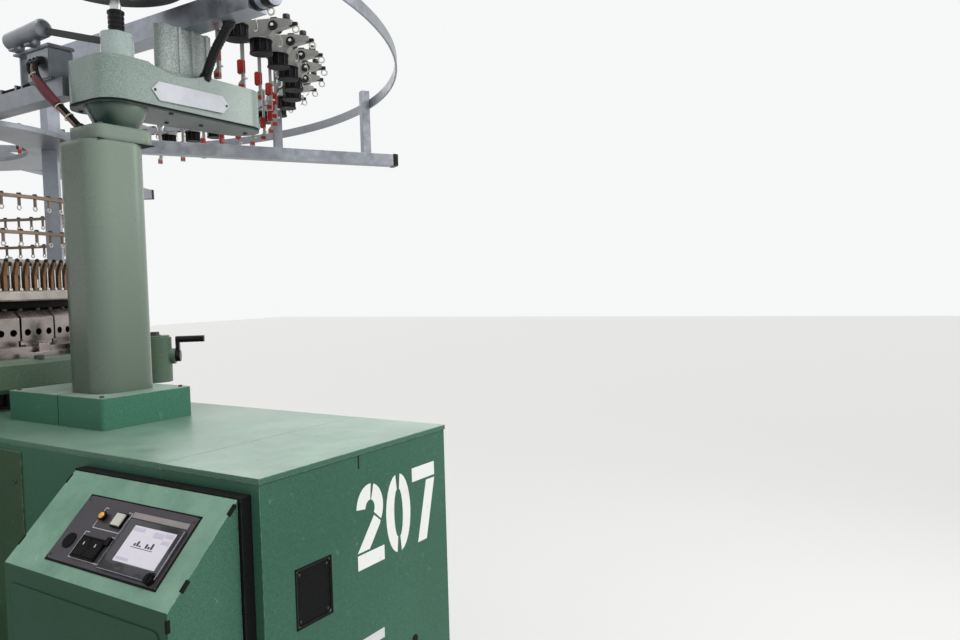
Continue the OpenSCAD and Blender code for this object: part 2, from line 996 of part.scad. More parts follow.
module cam_boxes() {
  r0 = needle_r + 4;
  step = 360 / cam_boxes_n;
  hole_step = step / 3.2;
  color("silver")
    around([for (k = [0 : cam_boxes_n - 1]) k * step])
      difference() {
        rotate([0, 0, -step / 2 + 0.35])
          rotate_extrude(angle = step - 0.7)
            polygon([
              [r0, cam_ring_top],
              [cam_box_r - 8, cam_ring_top],
              [cam_box_r - 8, cam_ring_top + 14],
              [cam_box_r, cam_ring_top + 14],
              [cam_box_r, cam_box_top - 22],
              [cam_box_r - 26, cam_box_top],
              [r0, cam_box_top]
            ]);
        for (k = [-1 : 1])
          rotate([0, 0, k * hole_step])
            translate([cam_box_r - 30, 0, cam_ring_top + 38])
              rotate([0, 90, 0])
                cylinder(h = 40, r = 10);
      }
}

module cam_ring() {
  mid = bed_top + cam_ring_h / 2;
  color("silver") {
    ring(bed_bore_r + 2, cam_box_r + 90, bed_top, mid);
    ring(bed_bore_r + 2, cam_box_r + 70, mid, cam_ring_top);
    around([7.5 : 30 : 337.5])
      slab(cam_box_r + 55, cam_box_r + 86, -17, 17, mid, mid + 24);
  }
}

module head_brackets() {
  color("seagreen")
    around([20 : 40 : 340])
      radial_plate([
        [bed_r - 66, bed_top],
        [bed_r - 20, bed_top],
        [bed_r - 20, bed_top + 52],
        [bed_r - 34, bed_top + 74],
        [bed_r - 66, bed_top + 100]
      ], 44);
}

module crank_gearcase() {
  color("seagreen")
    rotate([0, 0, crank_angle])
      difference() {
        union() {
          translate([crank_case_at, 0, 0]) {
            disc(crank_case_r, bed_z - 40, bed_top + 24);
            disc(crank_case_r - 6, bed_top + 24, bed_top + 30);
          }
          translate([crank_case_at, 0, crank_z])
            rotate([0, 90, 0])
              cylinder(h = crank_case_r + 12, r = 26);
        }
        translate([crank_case_at, 0, crank_z])
          rotate([0, 90, 0])
            cylinder(h = crank_case_r + 20, r = 9 + fit);
      }
}

module hand_crank() {
  x0 = crank_case_at + crank_case_r + 12 + seat;
  color("black")
    rotate([0, 0, crank_angle]) {
      translate([crank_case_at + 1, 0, crank_z])
        rotate([0, 90, 0])
          cylinder(h = crank_case_r + 20, r = 9);
      translate([x0, 0, crank_z])
        rotate([0, 90, 0])
          cylinder(h = 16, r = 19);
      slab(x0 + 2, x0 + 14, -10, 10, crank_z, crank_z + 56);
      translate([x0 + 2, 0, crank_z + 56])
        rotate([0, 90, 0])
          cylinder(h = 92, r = crank_grip_r);
    }
}

module needle_cylinder() {
  color("silver")
    difference() {
      ring(needle_r - 22, needle_r, bed_top, cam_box_top);
      around([0 : 6 : 354])
        slab(needle_r - 5, needle_r + 5, -2, 2, bed_top + 30, cam_box_top + 1);
    }
}

module cylinder_gear() {
  teeth = 90;
  tip = bed_bore_r + 40;
  root = tip - 9;
  step = 360 / teeth;
  color("dimgray")
    difference() {
      union() {
        disc(bed_bore_r - fit, bed_z - 6, bed_top);
        translate([0, 0, gear_z])
          linear_extrude(bed_z - 8 - gear_z)
            polygon([for (k = [0 : teeth - 1], p = [[0, root], [0.3, root], [0.45, tip], [0.85, tip]])
              [p[1] * cos((k + p[0]) * step), p[1] * sin((k + p[0]) * step)]]);
        disc(bed_bore_r - 15, gear_z, bed_z);
      }
      disc(needle_r - 41, gear_z - 1, bed_top + 1);
    }
}

module takedown_frame() {
  color("slategray")
    difference() {
      union() {
        ring(needle_r - 51, upright_x + 20, gear_z - 40, gear_z);
        for (s = [-1, 1])
          scale([s, 1, 1])
            slab(upright_x - upright_t, upright_x, -130, 130, takedown_z, gear_z - 40);
        slab(-upright_x, upright_x, -70, 70, takedown_z, takedown_z + 60);
        disc(pivot_r, base_top + 8, takedown_z);
      }
      for (y = roller_y)
        translate([0, y, roller_z])
          rotate([0, 90, 0])
            cylinder(h = 2 * upright_x + 10, r = journal_r + fit, center = true);
    }
}

module takedown_roller(y) {
  translate([0, y, roller_z])
    rotate([0, 90, 0]) {
      cylinder(h = 2 * (upright_x - upright_t - seat), r = roller_r, center = true);
      cylinder(h = 2 * upright_x, r = journal_r, center = true);
    }
}

module takedown_roller_a() {
  color("dimgray")
    takedown_roller(roller_y[0]);
}

module takedown_roller_b() {
  color("dimgray")
    takedown_roller(roller_y[1]);
}

module housing_side_cut() {
  slab(300, guard_r + 20, -guard_cut, guard_cut, guard_z - 20, shoulder_top + 20);
}

module guard_frame() {
  color("black")
    difference() {
      union() {
        ring(hoop_in, guard_r, guard_z, guard_z + hoop_t);
        ring(hoop_in, guard_r, shoulder_z - hoop_t, shoulder_z);
        for (a = [-57, 57])
          band(guard_r - 16, guard_r - 1, a - post_half, a + post_half, guard_z + 1, shoulder_z - 1);
        for (a = [-16, 16])
          band(guard_r - 16, guard_r - 1, a - 1.4, a + 1.4, guard_z + 1, shoulder_z - 1);
      }
      housing_side_cut();
      for (a = [door_a0 + pin_off, door_b1 - pin_off, -door_a0 - pin_off, pin_off - door_b1])
        rotate([0, 0, a])
          translate([pin_r_at, 0, 0])
            disc(door_pin_r + fit, guard_z - 1, shoulder_z + 1);
    }
}

module guard_window_band(inner, grow) {
  for (a = [36, 80, 122, 160, 200, 238, 280, 324])
    band(inner, guard_r + 10, a - 11 - grow, a + 11 + grow,
      shoulder_z + 85 - 20 * grow, shoulder_top - 105 + 20 * grow);
}

module shoulder_shell(t) {
  difference() {
    translate([0, 0, shoulder_z])
      cylinder(h = shoulder_top - shoulder_z, r1 = guard_r, r2 = shoulder_r, $fn = 128);
    translate([0, 0, shoulder_z])
      cylinder(h = shoulder_top - shoulder_z, r1 = guard_r - t, r2 = shoulder_r - t, $fn = 128);
  }
}

module guard_shoulder() {
  color("seagreen")
    difference() {
      union() {
        shoulder_shell(guard_t * 1.4);
        ring(leg_out + 4, shoulder_r - 4, shoulder_top - 6, shoulder_top);
      }
      guard_window_band(500, 0);
      housing_side_cut();
    }
}

module guard_windows() {
  color("black")
    intersection() {
      shoulder_shell(guard_t);
      guard_window_band(500, -0.05);
    }
}

module guard_rear_panel() {
  color("seagreen")
    band(guard_r - guard_t, guard_r, door_b1 + door_gap, 360 - door_b1 - door_gap, door_z0 - 2,
      door_z1 + 2);
}

// Curved guard door between two bearings, hinged by pins at the bearing given
module guard_door(a0, a1, hinge, latch) {
  away = latch > hinge ? -1 : 1;
  mid = (a0 + a1) / 2;
  color("seagreen") {
    difference() {
      union() {
        band(guard_r - guard_t, guard_r, a0, a1, door_z0, door_z1);
        band(guard_r - 17, guard_r - guard_t + 1, hinge - 0.45, hinge + 0.45, door_z0, door_z1);
        band(guard_r - 2, guard_r + 10, latch + away * 1.4 - 0.9, latch + away * 1.4 + 0.9,
          shoulder_z - 105, shoulder_z - 65);
      }
      for (k = [-1 : 1], j = [0 : 6])
        rotate([0, 0, latch + away * (6.5 + k * 2.2)])
          slab(guard_r - 30, guard_r + 30, -vent / 2, vent / 2, 200 + j * 50, 200 + vent + j * 50);
    }
    rotate([0, 0, hinge])
      translate([pin_r_at, 0, 0]) {
        disc(door_pin_r, guard_z + 2, door_z0 + 1);
        disc(door_pin_r, door_z1 - 1, shoulder_z - 2);
      }
  }
}

module front_door_a() {
  guard_door(-door_a1, -door_a0, -door_a0 - pin_off, -door_a1);
}

module front_door_b() {
  guard_door(-door_b1, -door_b0, -door_b1 + pin_off, -door_b0);
}

module rear_door_a() {
  guard_door(door_a0, door_a1, door_a0 + pin_off, door_a1);
}

module rear_door_b() {
  guard_door(door_b0, door_b1, door_b1 - pin_off, door_b0);
}

levelling_feet();
base_frame();
bed_ring();
drive_housing();
control_cabinet();
left_top_cover();
right_top_cover();
side_panel();
console_collar();
console_box();
console_front_panel();
console_bezel();
display();
switch_block();
start_button();
rocker_left();
rocker_right();
selector_knob();
main_switch_plate();
main_switch();
column_base_cover();
main_column();
column_adapter();
top_arm();
top_arm_cover();
shaft_sleeve();
yarn_feed_pulley();
beam_bracket();
cross_beam();
hub_ring();
radial_beams();
ring_posts();
outer_ring();
feeder_ring();
feeder_bodies();
feeder_wheels();
dial_carrier();
dial_cam_ring();
dial();
yarn_guides();
stud_rings();
cam_boxes();
cam_ring();
head_brackets();
crank_gearcase();
hand_crank();
needle_cylinder();
cylinder_gear();
takedown_frame();
takedown_roller_a();
takedown_roller_b();
guard_frame();
guard_shoulder();
guard_windows();
guard_rear_panel();
front_door_a();
front_door_b();
rear_door_a();
rear_door_b();
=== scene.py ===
from math import acos, asin, atan2, cos, hypot, pi, radians, sin, sqrt

import bmesh
import bpy
from mathutils import Matrix, Vector


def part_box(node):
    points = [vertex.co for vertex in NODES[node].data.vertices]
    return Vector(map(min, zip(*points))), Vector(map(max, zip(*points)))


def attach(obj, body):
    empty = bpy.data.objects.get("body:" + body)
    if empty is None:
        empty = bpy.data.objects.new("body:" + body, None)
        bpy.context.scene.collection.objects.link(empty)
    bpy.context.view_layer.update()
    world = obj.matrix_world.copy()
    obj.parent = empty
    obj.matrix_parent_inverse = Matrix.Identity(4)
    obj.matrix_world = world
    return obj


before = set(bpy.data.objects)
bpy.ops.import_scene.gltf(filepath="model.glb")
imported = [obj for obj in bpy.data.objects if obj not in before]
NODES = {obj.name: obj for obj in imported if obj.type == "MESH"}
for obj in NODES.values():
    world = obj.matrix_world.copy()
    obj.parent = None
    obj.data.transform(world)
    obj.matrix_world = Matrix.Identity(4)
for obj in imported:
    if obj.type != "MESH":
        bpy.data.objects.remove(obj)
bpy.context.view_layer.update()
ROOT = "machine_frame"
scene = bpy.context.scene

# Camera, solved from the photograph's straight edges

CAMERA_PLACE = Vector((2.82, -1.124, 1.495))
CAMERA_YAW, CAMERA_PITCH, CAMERA_ROLL = (radians(a) for a in (32.17, 2.584, 1.556))
FOCAL_PIXELS = 771.6
IMAGE_WIDTH = 960


def set_camera():
    level = cos(CAMERA_PITCH)
    ahead = Vector((-sin(CAMERA_YAW) * level, cos(CAMERA_YAW) * level, -sin(CAMERA_PITCH)))
    right = Vector((cos(CAMERA_YAW), sin(CAMERA_YAW), 0))
    down = ahead.cross(right)
    c, s = cos(CAMERA_ROLL), sin(CAMERA_ROLL)
    cam = bpy.data.objects.new("camera", bpy.data.cameras.new("camera"))
    scene.collection.objects.link(cam)
    m = Matrix((c * right + s * down, s * right - c * down, -ahead)).transposed().to_4x4()
    m.translation = CAMERA_PLACE
    cam.matrix_world = m
    cam.data.sensor_fit = "HORIZONTAL"
    cam.data.lens = FOCAL_PIXELS / IMAGE_WIDTH * cam.data.sensor_width
    cam.data.clip_start = 0.05
    cam.data.clip_end = 60
    scene.camera = cam


set_camera()

# Shader helpers


def new_material(name):
    m = bpy.data.materials.new(name)
    m.use_nodes = True
    nt = m.node_tree
    return m, nt, nt.nodes["Principled BSDF"]


def fill(n, sockets):
    """Gives a node's sockets their numbers, colours or links."""
    for key, v in sockets.items():
        if isinstance(v, bpy.types.NodeSocket):
            n.id_data.links.new(v, n.inputs[key])
        else:
            n.inputs[key].default_value = (*v, 1) if isinstance(v, tuple) else v


def node(nt, kind, sockets, **settings):
    n = nt.nodes.new(kind)
    for k, v in settings.items():
        setattr(n, k, v)
    fill(n, sockets)
    return n


def noise(nt, coord, scale, detail=3.0, rough=0.55):
    sockets = {"Vector": coord, "Scale": scale, "Detail": detail, "Roughness": rough}
    return node(nt, "ShaderNodeTexNoise", sockets).outputs["Fac"]


def ramp(nt, value, low_in, high_in, low_out=0.0, high_out=1.0):
    sockets = dict(enumerate((value, low_in, high_in, low_out, high_out)))
    return node(nt, "ShaderNodeMapRange", sockets, clamp=True).outputs["Result"]


def maths(nt, op, a, b):
    return node(nt, "ShaderNodeMath", {0: a, 1: b}, operation=op).outputs[0]


def mix(nt, fac, a, b):
    return node(nt, "ShaderNodeMix", {0: fac, 6: a, 7: b}, data_type="RGBA").outputs[2]


def scaled(color, by, plus=0.0):
    return tuple(min(1, c * by + plus) for c in color)


def soft_normal(nt, radius):
    return node(nt, "ShaderNodeBevel", {"Radius": radius}, samples=4).outputs["Normal"]


def bump(nt, height, strength, distance, shader, normal=None):
    n = node(nt, "ShaderNodeBump", {"Strength": strength, "Distance": distance, "Height": height})
    if normal:
        fill(n, {"Normal": normal})
    fill(shader, {"Normal": n.outputs["Normal"]})


def edge_wear(nt, normal):
    """1 along edges, 0 on flats."""
    face = nt.nodes.new("ShaderNodeNewGeometry").outputs["True Normal"]
    flat = node(nt, "ShaderNodeVectorMath", {0: face, 1: normal}, operation="DOT_PRODUCT").outputs["Value"]
    return ramp(nt, flat, 0.97, 0.86)


def part_of(nt, vector, axis):
    return node(nt, "ShaderNodeSeparateXYZ", {0: vector}).outputs[axis]


def zone(nt, coord, axis, start, end):
    """1 where the object coordinate lies between its two ends."""
    v = part_of(nt, coord, axis)
    return maths(nt, "MULTIPLY", maths(nt, "GREATER_THAN", v, start), maths(nt, "LESS_THAN", v, end))


def coords(nt):
    return nt.nodes.new("ShaderNodeTexCoord").outputs["Object"]


def upward(nt):
    return part_of(nt, nt.nodes.new("ShaderNodeNewGeometry").outputs["Normal"], "Z")


# Materials


def paint(name, base, dusty, grain=420.0, dust=0.75, rough=0.42, speckle=0.2, zones=(), fades=(), soft=0.003,
          coat=0.0, sheen=0.2):
    """Hammered machine enamel: fine grain, slow mottling, dust on what faces up, scuffs and worn edges.

    A zone is (axis, start, end, colour); a fade has the colour's share at its start and end too."""
    m, nt, sh = new_material(name)
    co = coords(nt)
    fine = noise(nt, co, grain, 2.0)
    slow = noise(nt, co, 3.2, 4.0)
    col = mix(nt, ramp(nt, fine, 0.35, 0.68), scaled(base, 1 - speckle), scaled(base, 1 + speckle, 0.008))
    col = mix(nt, ramp(nt, slow, 0.35, 0.75, 0.0, 0.5), col, scaled(base, 0.74))
    scuff = maths(nt, "MULTIPLY", ramp(nt, noise(nt, co, 38.0, 6.0, 0.7), 0.62, 0.72), 0.4)
    col = mix(nt, scuff, col, dusty)
    streak = noise(nt, co, 7.0, 5.0, 0.65)
    top = maths(nt, "MULTIPLY", ramp(nt, upward(nt), 0.3, 0.95), ramp(nt, streak, 0.3, 0.62, 0.5, 1.0))
    col = mix(nt, maths(nt, "MULTIPLY", top, dust), col, dusty)
    normal = soft_normal(nt, soft)
    rubbed = ramp(nt, noise(nt, co, 60.0, 5.0, 0.7), 0.42, 0.6, 0.15, 0.75)
    worn = maths(nt, "MULTIPLY", edge_wear(nt, normal), rubbed)
    col = mix(nt, worn, col, scaled(dusty, 1.15, 0.03))
    for axis, start, end, tint in zones:
        grains = scaled(tint, 1 - speckle * 0.6), scaled(tint, 1 + speckle * 0.6)
        col = mix(nt, zone(nt, co, axis, start, end), col, mix(nt, ramp(nt, fine, 0.35, 0.68), *grains))
    for axis, start, end, low_share, high_share, tint in fades:
        col = mix(nt, ramp(nt, part_of(nt, co, axis), start, end, low_share, high_share), col, tint)
    gloss = ramp(nt, slow, 0.3, 0.8, rough - 0.08, rough + 0.1)
    fill(sh, {"Base Color": col, "Roughness": maths(nt, "ADD", gloss, maths(nt, "MULTIPLY", top, 0.15)),
              "Specular IOR Level": sheen, "Coat Weight": coat, "Coat Roughness": 0.25})
    bump(nt, fine, 0.22, 0.0008, sh, normal)
    return m


def metal(name, base, rough=0.34, grain=30.0, metallic=1.0, stain=0.35, brushed=False, zones=()):
    """Bare metal with blotches and slow stains."""
    m, nt, sh = new_material(name)
    co = coords(nt)
    patch = noise(nt, co, grain, 5.0, 0.6)
    slow = noise(nt, co, 5.0, 4.0)
    col = mix(nt, ramp(nt, patch, 0.35, 0.7), scaled(base, 0.8), scaled(base, 1.12))
    col = mix(nt, ramp(nt, slow, 0.45, 0.8, 0.0, stain), col, scaled(base, 0.45))
    for axis, start, end, tint in zones:
        blotchy = mix(nt, ramp(nt, patch, 0.35, 0.7), scaled(tint, 0.8), scaled(tint, 1.15))
        col = mix(nt, zone(nt, co, axis, start, end), col, blotchy)
    fill(sh, {"Base Color": col, "Roughness": ramp(nt, patch, 0.3, 0.75, rough - 0.08, rough + 0.14),
              "Metallic": metallic})
    bump(nt, noise(nt, co, 300.0 if brushed else 160.0, 3.0), 0.12, 0.0005, sh, soft_normal(nt, 0.0016))
    return m


def plastic(name, base, rough=0.4, grain=500.0, vary=0.2, coat=0.0, sheen=0.4):
    m, nt, sh = new_material(name)
    co = coords(nt)
    slow = noise(nt, co, 24.0, 4.0)
    col = mix(nt, ramp(nt, slow, 0.3, 0.75), scaled(base, 1 - vary), scaled(base, 1 + vary))
    fill(sh, {"Base Color": col, "Roughness": ramp(nt, slow, 0.3, 0.75, rough - 0.06, rough + 0.1),
              "Specular IOR Level": sheen, "Coat Weight": coat})
    bump(nt, noise(nt, co, grain, 2.0), 0.1, 0.0003, sh, soft_normal(nt, 0.0012))
    return m


GREEN = (0.036, 0.122, 0.078)


def stencil_paint():
    """Sprayed white, thin in places and rubbed."""
    m, nt, sh = new_material("stencil_white")
    co = coords(nt)
    rub = noise(nt, co, 70.0, 6.0, 0.7)
    thin = noise(nt, co, 9.0, 3.0)
    gone = maths(nt, "MAXIMUM", ramp(nt, rub, 0.66, 0.7), ramp(nt, thin, 0.66, 0.8, 0.0, 0.5))
    col = mix(nt, gone, (0.8, 0.81, 0.8), GREEN)
    fill(sh, {"Base Color": col, "Roughness": ramp(nt, rub, 0.3, 0.7, 0.45, 0.6)})
    bump(nt, noise(nt, co, 420.0, 2.0), 0.2, 0.0006, sh)
    return m


MAT = {
    "green": paint("green_enamel", GREEN, (0.22, 0.33, 0.26)),
    "green_base": paint("green_enamel_base", (0.055, 0.185, 0.122), (0.3, 0.37, 0.32), dust=0.85),
    "green_bed": paint("green_enamel_bed", (0.095, 0.15, 0.1), (0.22, 0.3, 0.24)),
    # Painted shade: the fade darkens the top covers towards low x, away from the reflected lights at their
    # right end.
    "green_top": paint("green_enamel_top", (0.042, 0.135, 0.088), (0.31, 0.445, 0.36), dust=0.97, rough=0.3,
        coat=0.25, fades=((0, 1.05, 1.7, 0.72, 0.0, (0.075, 0.165, 0.115)),)),
    # Painted shade: the zone darkens the console's front face, which faces away from the key light.
    "green_console": paint("green_enamel_console", (0.046, 0.138, 0.094), (0.36, 0.58, 0.445), dust=0.95,
        zones=((1, -0.5, -0.4242, (0.016, 0.066, 0.036)),)),
    # Painted light: the zone paints the boss on top of the arm, above z 2.0712, much lighter, as if lit.
    "green_cast": paint("green_enamel_cast", (0.235, 0.305, 0.275), (0.4, 0.47, 0.44), grain=340.0, dust=0.8,
        rough=0.28, speckle=0.22, coat=0.3, sheen=0.4,
        zones=((2, 2.0712, 2.3, (0.46, 0.55, 0.53)),)),
    # Painted shade: the arm's underside cover gets a near-black green for the shade under the arm.
    "green_cover": paint("painted_shade_arm_cover", (0.01, 0.034, 0.028), (0.22, 0.33, 0.26), rough=0.35),
    "bracket": paint("bracket_speckle", (0.42, 0.475, 0.455), (0.52, 0.57, 0.54), grain=290.0, rough=0.34,
        speckle=0.38, sheen=0.4),
    # Painted light and shade on the column: the zone darkens it above z 1.8975 as painted shade under the
    # arm, and the first fade paints its +X side lighter as a painted highlight; the second fade makes it
    # darker towards the bottom.
    "green_column": paint("green_enamel_column", (0.112, 0.146, 0.117), (0.3, 0.38, 0.32), grain=300.0,
        dust=0.6, rough=0.3, speckle=0.13, soft=0.018, coat=0.3, sheen=0.4,
        zones=((2, 1.8975, 3.0, (0.016, 0.05, 0.038)),),
        fades=((0, 1.072, 1.116, 0.0, 0.92, (0.208, 0.272, 0.215)),
        (2, 1.25, 1.72, 0.66, 0.0, (0.048, 0.08, 0.05)))),
    "olive": paint("olive_enamel", (0.035, 0.075, 0.036), (0.2, 0.25, 0.2), rough=0.45),
    "black": paint("black_enamel", (0.004, 0.0045, 0.0045), (0.03, 0.034, 0.03), dust=0.2, rough=0.6,
        speckle=0.15, sheen=0.08),
    "dark_iron": metal("dark_iron", (0.07, 0.075, 0.075), 0.55, 40.0, 0.4),
    "zinc": metal("zinc_plate", (0.3, 0.32, 0.35), 0.38, 26.0, 0.85),
    "steel_bar": metal("steel_bar", (0.36, 0.38, 0.43), 0.34, 30.0, 0.8),
    "machined": metal("machined_steel", (0.42, 0.385, 0.355), 0.26, 18.0, brushed=True),
    "cam": metal("cam_alloy", (0.335, 0.298, 0.28), 0.24, 16.0, stain=0.45, brushed=True),
    "carrier": metal("carrier_steel", (0.42, 0.39, 0.37), 0.3, 18.0, brushed=True,
        zones=((2, 1.6115, 2.0, (0.27, 0.29, 0.325)),)),
    "stud_steel": metal("stud_steel", (0.27, 0.205, 0.155), 0.4, 90.0, 0.8, 0.5),
    "shaft": metal("bright_shaft", (0.68, 0.68, 0.68), 0.16, 60.0, stain=0.1, brushed=True),
    "bronze": metal("worn_bronze", (0.23, 0.13, 0.065), 0.42, 90.0, 0.75, 0.6),
    "rubber": plastic("grooved_rubber", (0.009, 0.009, 0.009), 0.7, sheen=0.12),
    "black_plastic": plastic("black_plastic", (0.006, 0.006, 0.007), 0.3, sheen=0.3),
    "control": plastic("control_black", (0.0035, 0.0035, 0.004), 0.5, sheen=0.1),
    "white": plastic("white_plastic", (0.62, 0.61, 0.56), 0.3, vary=0.08),
    "red": plastic("red_plastic", (0.4, 0.014, 0.012), 0.3),
    "lamp_red": plastic("stop_lamp_red", (0.36, 0.018, 0.014), 0.2, vary=0.3, coat=0.3),
    "feeder_grey": plastic("feeder_grey", (0.29, 0.285, 0.265), 0.35),
    "yellow": plastic("yellow_plate", (0.75, 0.46, 0.03), 0.4),
    "bezel": plastic("bezel_grey", (0.05, 0.044, 0.054), 0.34, 900.0),
    "display": plastic("display_frame", (0.016, 0.015, 0.02), 0.14, coat=0.5),
    "window": plastic("smoked_window", (0.01, 0.011, 0.013), 0.24, coat=0.15, sheen=0.3),
    "label_white": plastic("label_white", (0.62, 0.62, 0.64), 0.45, vary=0.06),
    "plate_white": plastic("plate_white", (0.58, 0.6, 0.64), 0.4, vary=0.1),
    "strip": plastic("panel_strip", (0.3, 0.27, 0.27), 0.35, vary=0.1),
    "screen": plastic("screen_glass", (0.8, 0.77, 0.86), 0.12, vary=0.03, coat=0.4),
    "screen_tint": plastic("screen_tint", (0.66, 0.6, 0.74), 0.2, vary=0.05),
    "amber": plastic("amber_lens", (0.85, 0.4, 0.02), 0.15, vary=0.08, coat=0.6),
    "ceramic": plastic("glazed_ceramic", (0.66, 0.64, 0.58), 0.14, vary=0.06, coat=0.4),
    "cable_brown": plastic("cable_brown", (0.16, 0.1, 0.08), 0.45),
    "wrap_red": plastic("wrap_red", (0.1, 0.012, 0.022), 0.35, vary=0.4),
    "stencil": stencil_paint(),
}

BY_NODE = {
    "green": "drive_housing control_cabinet guard_shoulder guard_rear_panel head_brackets "
             "front_door_a front_door_b rear_door_a rear_door_b",
    "green_base": "column_base_cover",
    "green_bed": "bed_ring crank_gearcase",
    "green_top": "left_top_cover right_top_cover",
    "green_console": "console_box console_front_panel",
    "green_cast": "top_arm",
    "green_cover": "top_arm_cover",
    "bracket": "beam_bracket",
    "green_column": "main_column column_adapter",
    "olive": "side_panel",
    # The console collar's black is partly its black seal and partly painted shade in the gap around the
    # console.
    "black": "console_collar guard_frame",
    "dark_iron": "levelling_feet base_frame takedown_frame cylinder_gear yarn_feed_pulley",
    "zinc": "hub_ring radial_beams ring_posts outer_ring feeder_ring",
    "steel_bar": "cross_beam",
    "machined": "dial needle_cylinder dial_cam_ring",
    "carrier": "dial_carrier",
    "cam": "cam_boxes cam_ring",
    "bronze": "yarn_guides",
    "stud_steel": "stud_rings",
    "rubber": "takedown_roller_a takedown_roller_b",
    "control": "switch_block rocker_left rocker_right selector_knob feeder_wheels",
    "black_plastic": "shaft_sleeve hand_crank",
    "feeder_grey": "feeder_bodies",
    "white": "start_button",
    "red": "main_switch",
    "yellow": "main_switch_plate",
    "bezel": "console_bezel",
    "display": "display",
    "window": "guard_windows",
}

for key, names in BY_NODE.items():
    for name in names.split():
        NODES[name].data.materials.clear()
        NODES[name].data.materials.append(MAT[key])

# Mesh helpers


def soften(bm, edges, width, segments):
    bmesh.ops.bevel(bm, geom=edges[:], offset=width, segments=segments, affect="EDGES", clamp_overlap=True)


def circle(steps):
    return [2 * pi * k / steps for k in range(steps)]


def ring(r0, r1, z0, z1, cut=0.0):
    """A ring's profile for lathe, with its outer edges cut."""
    return [(r0, z0), (r1, z0 + cut), (r1, z1 - cut), (r0, z1), (r0, z0)]


def stub(r, z0, z1, end_r, z2):
    """Profile of a round rod that narrows to end_r between z1 and z2."""
    return [(0, z0), (r, z0), (r, z1), (end_r, z2), (0, z2)]


class Piece:
    """Closed forms gathered into one mesh."""

    def __init__(self):
        self.bm = bmesh.new()

    def take(self, other, m=None):
        other.verts.index_update()
        vs = [self.bm.verts.new(m @ v.co if m else v.co) for v in other.verts]
        for f in other.faces:
            self.bm.faces.new([vs[v.index] for v in f.verts])
        other.free()
        return self

    def slab(self, x0, x1, y0, y1, z0, z1, soft=0.0, m=None, segments=2):
        bm = bmesh.new()
        bmesh.ops.create_cube(bm, size=1)
        for v in bm.verts:
            v.co = Vector((x0 + (v.co.x + 0.5) * (x1 - x0), y0 + (v.co.y + 0.5) * (y1 - y0),
                           z0 + (v.co.z + 0.5) * (z1 - z0)))
        if soft:
            soften(bm, bm.edges, soft, segments)
        return self.take(bm, m)

    def prism(self, outline, z0, z1, soft=0.0, m=None):
        bm = bmesh.new()
        bottom = [bm.verts.new((x, y, z0)) for x, y in outline]
        top = [bm.verts.new((x, y, z1)) for x, y in outline]
        n = len(outline)
        bm.faces.new(bottom[::-1])
        lid = bm.faces.new(top)
        for i in range(n):
            bm.faces.new((bottom[i], bottom[(i + 1) % n], top[(i + 1) % n], top[i]))
        if soft:
            soften(bm, lid.edges, soft, 2)
        return self.take(bm, m)

    def lathe(self, profile, steps=24, m=None):
        """Turns (radius, height) points about Z; a ring's profile ends on its first point."""
        bm = bmesh.new()
        closed = profile[0] == profile[-1]
        rows = []
        for r, z in profile[:-1] if closed else profile:
            if r < 1e-7:
                rows.append([bm.verts.new((0, 0, z))])
            else:
                rows.append([bm.verts.new((r * cos(a), r * sin(a), z)) for a in circle(steps)])
        pairs = list(zip(rows, rows[1:])) + ([(rows[-1], rows[0])] if closed else [])
        for a, b in pairs:
            if len(a) == 1 and len(b) == 1:
                continue
            for k in range(steps):
                j = (k + 1) % steps
                if len(a) == 1:
                    bm.faces.new((a[0], b[j], b[k]))
                elif len(b) == 1:
                    bm.faces.new((a[k], a[j], b[0]))
                else:
                    bm.faces.new((a[k], a[j], b[j], b[k]))
        return self.take(bm, m)

    def torus(self, major, minor, m, steps=20, sides=8):
        profile = [(major + minor * cos(a), minor * sin(a)) for a in circle(sides)]
        return self.lathe(profile + [profile[0]], steps, m)

    def tube(self, path, radius, sides=12):
        """Sweeps a circle along the points; radius is one number, or one for each point."""
        pts = [Vector(p) for p in path]
        bm = bmesh.new()
        last = len(pts) - 1
        tangents = [(pts[min(i + 1, last)] - pts[max(i - 1, 0)]).normalized() for i in range(last + 1)]
        up = tangents[0].orthogonal().normalized()
        rings = []
        for i, (p, t) in enumerate(zip(pts, tangents)):
            up = (up - t * up.dot(t)).normalized()
            side = t.cross(up)
            r = radius[i] if isinstance(radius, list) else radius
            rings.append([bm.verts.new(p + r * (cos(a) * up + sin(a) * side)) for a in circle(sides)])
        for a, b in zip(rings, rings[1:]):
            for k in range(sides):
                j = (k + 1) % sides
                bm.faces.new((a[k], a[j], b[j], b[k]))
        bm.faces.new(rings[0][::-1])
        bm.faces.new(rings[-1])
        return self.take(bm)

    def screw(self, m, r, h):
        """Socket-head screw standing on the XY plane of m."""
        return self.lathe([(0, 0), (r, 0), (r, h * 0.85), (r * 0.88, h), (r * 0.5, h), (r * 0.45, h * 0.45),
                           (0, h * 0.45)], 12, m)

    def nut(self, m, r, h):
        """Hexagon head on its washer, standing on the XY plane of m."""
        self.lathe([(0, 0), (r * 1.25, 0), (r * 1.25, h * 0.25), (0, h * 0.25)], 16, m)
        return self.lathe(stub(r, 0, h * 0.9, r * 0.85, h), 6, m)

    def done(self, name, key, body=ROOT, smooth=35.0):
        """Makes the object, sharp at edges over smooth degrees, and lets it ride on the body."""
        bmesh.ops.recalc_face_normals(self.bm, faces=self.bm.faces[:])
        me = bpy.data.meshes.new(name)
        self.bm.to_mesh(me)
        self.bm.free()
        obj = bpy.data.objects.new(name, me)
        scene.collection.objects.link(obj)
        me.materials.append(MAT[key])
        if smooth:
            for p in me.polygons:
                p.use_smooth = True
            me.set_sharp_from_angle(angle=radians(smooth))
        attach(obj, body)


def at(x, y, z):
    return Matrix.Translation((x, y, z))


def spin(deg, axis="Z"):
    return Matrix.Rotation(radians(deg), 4, axis)


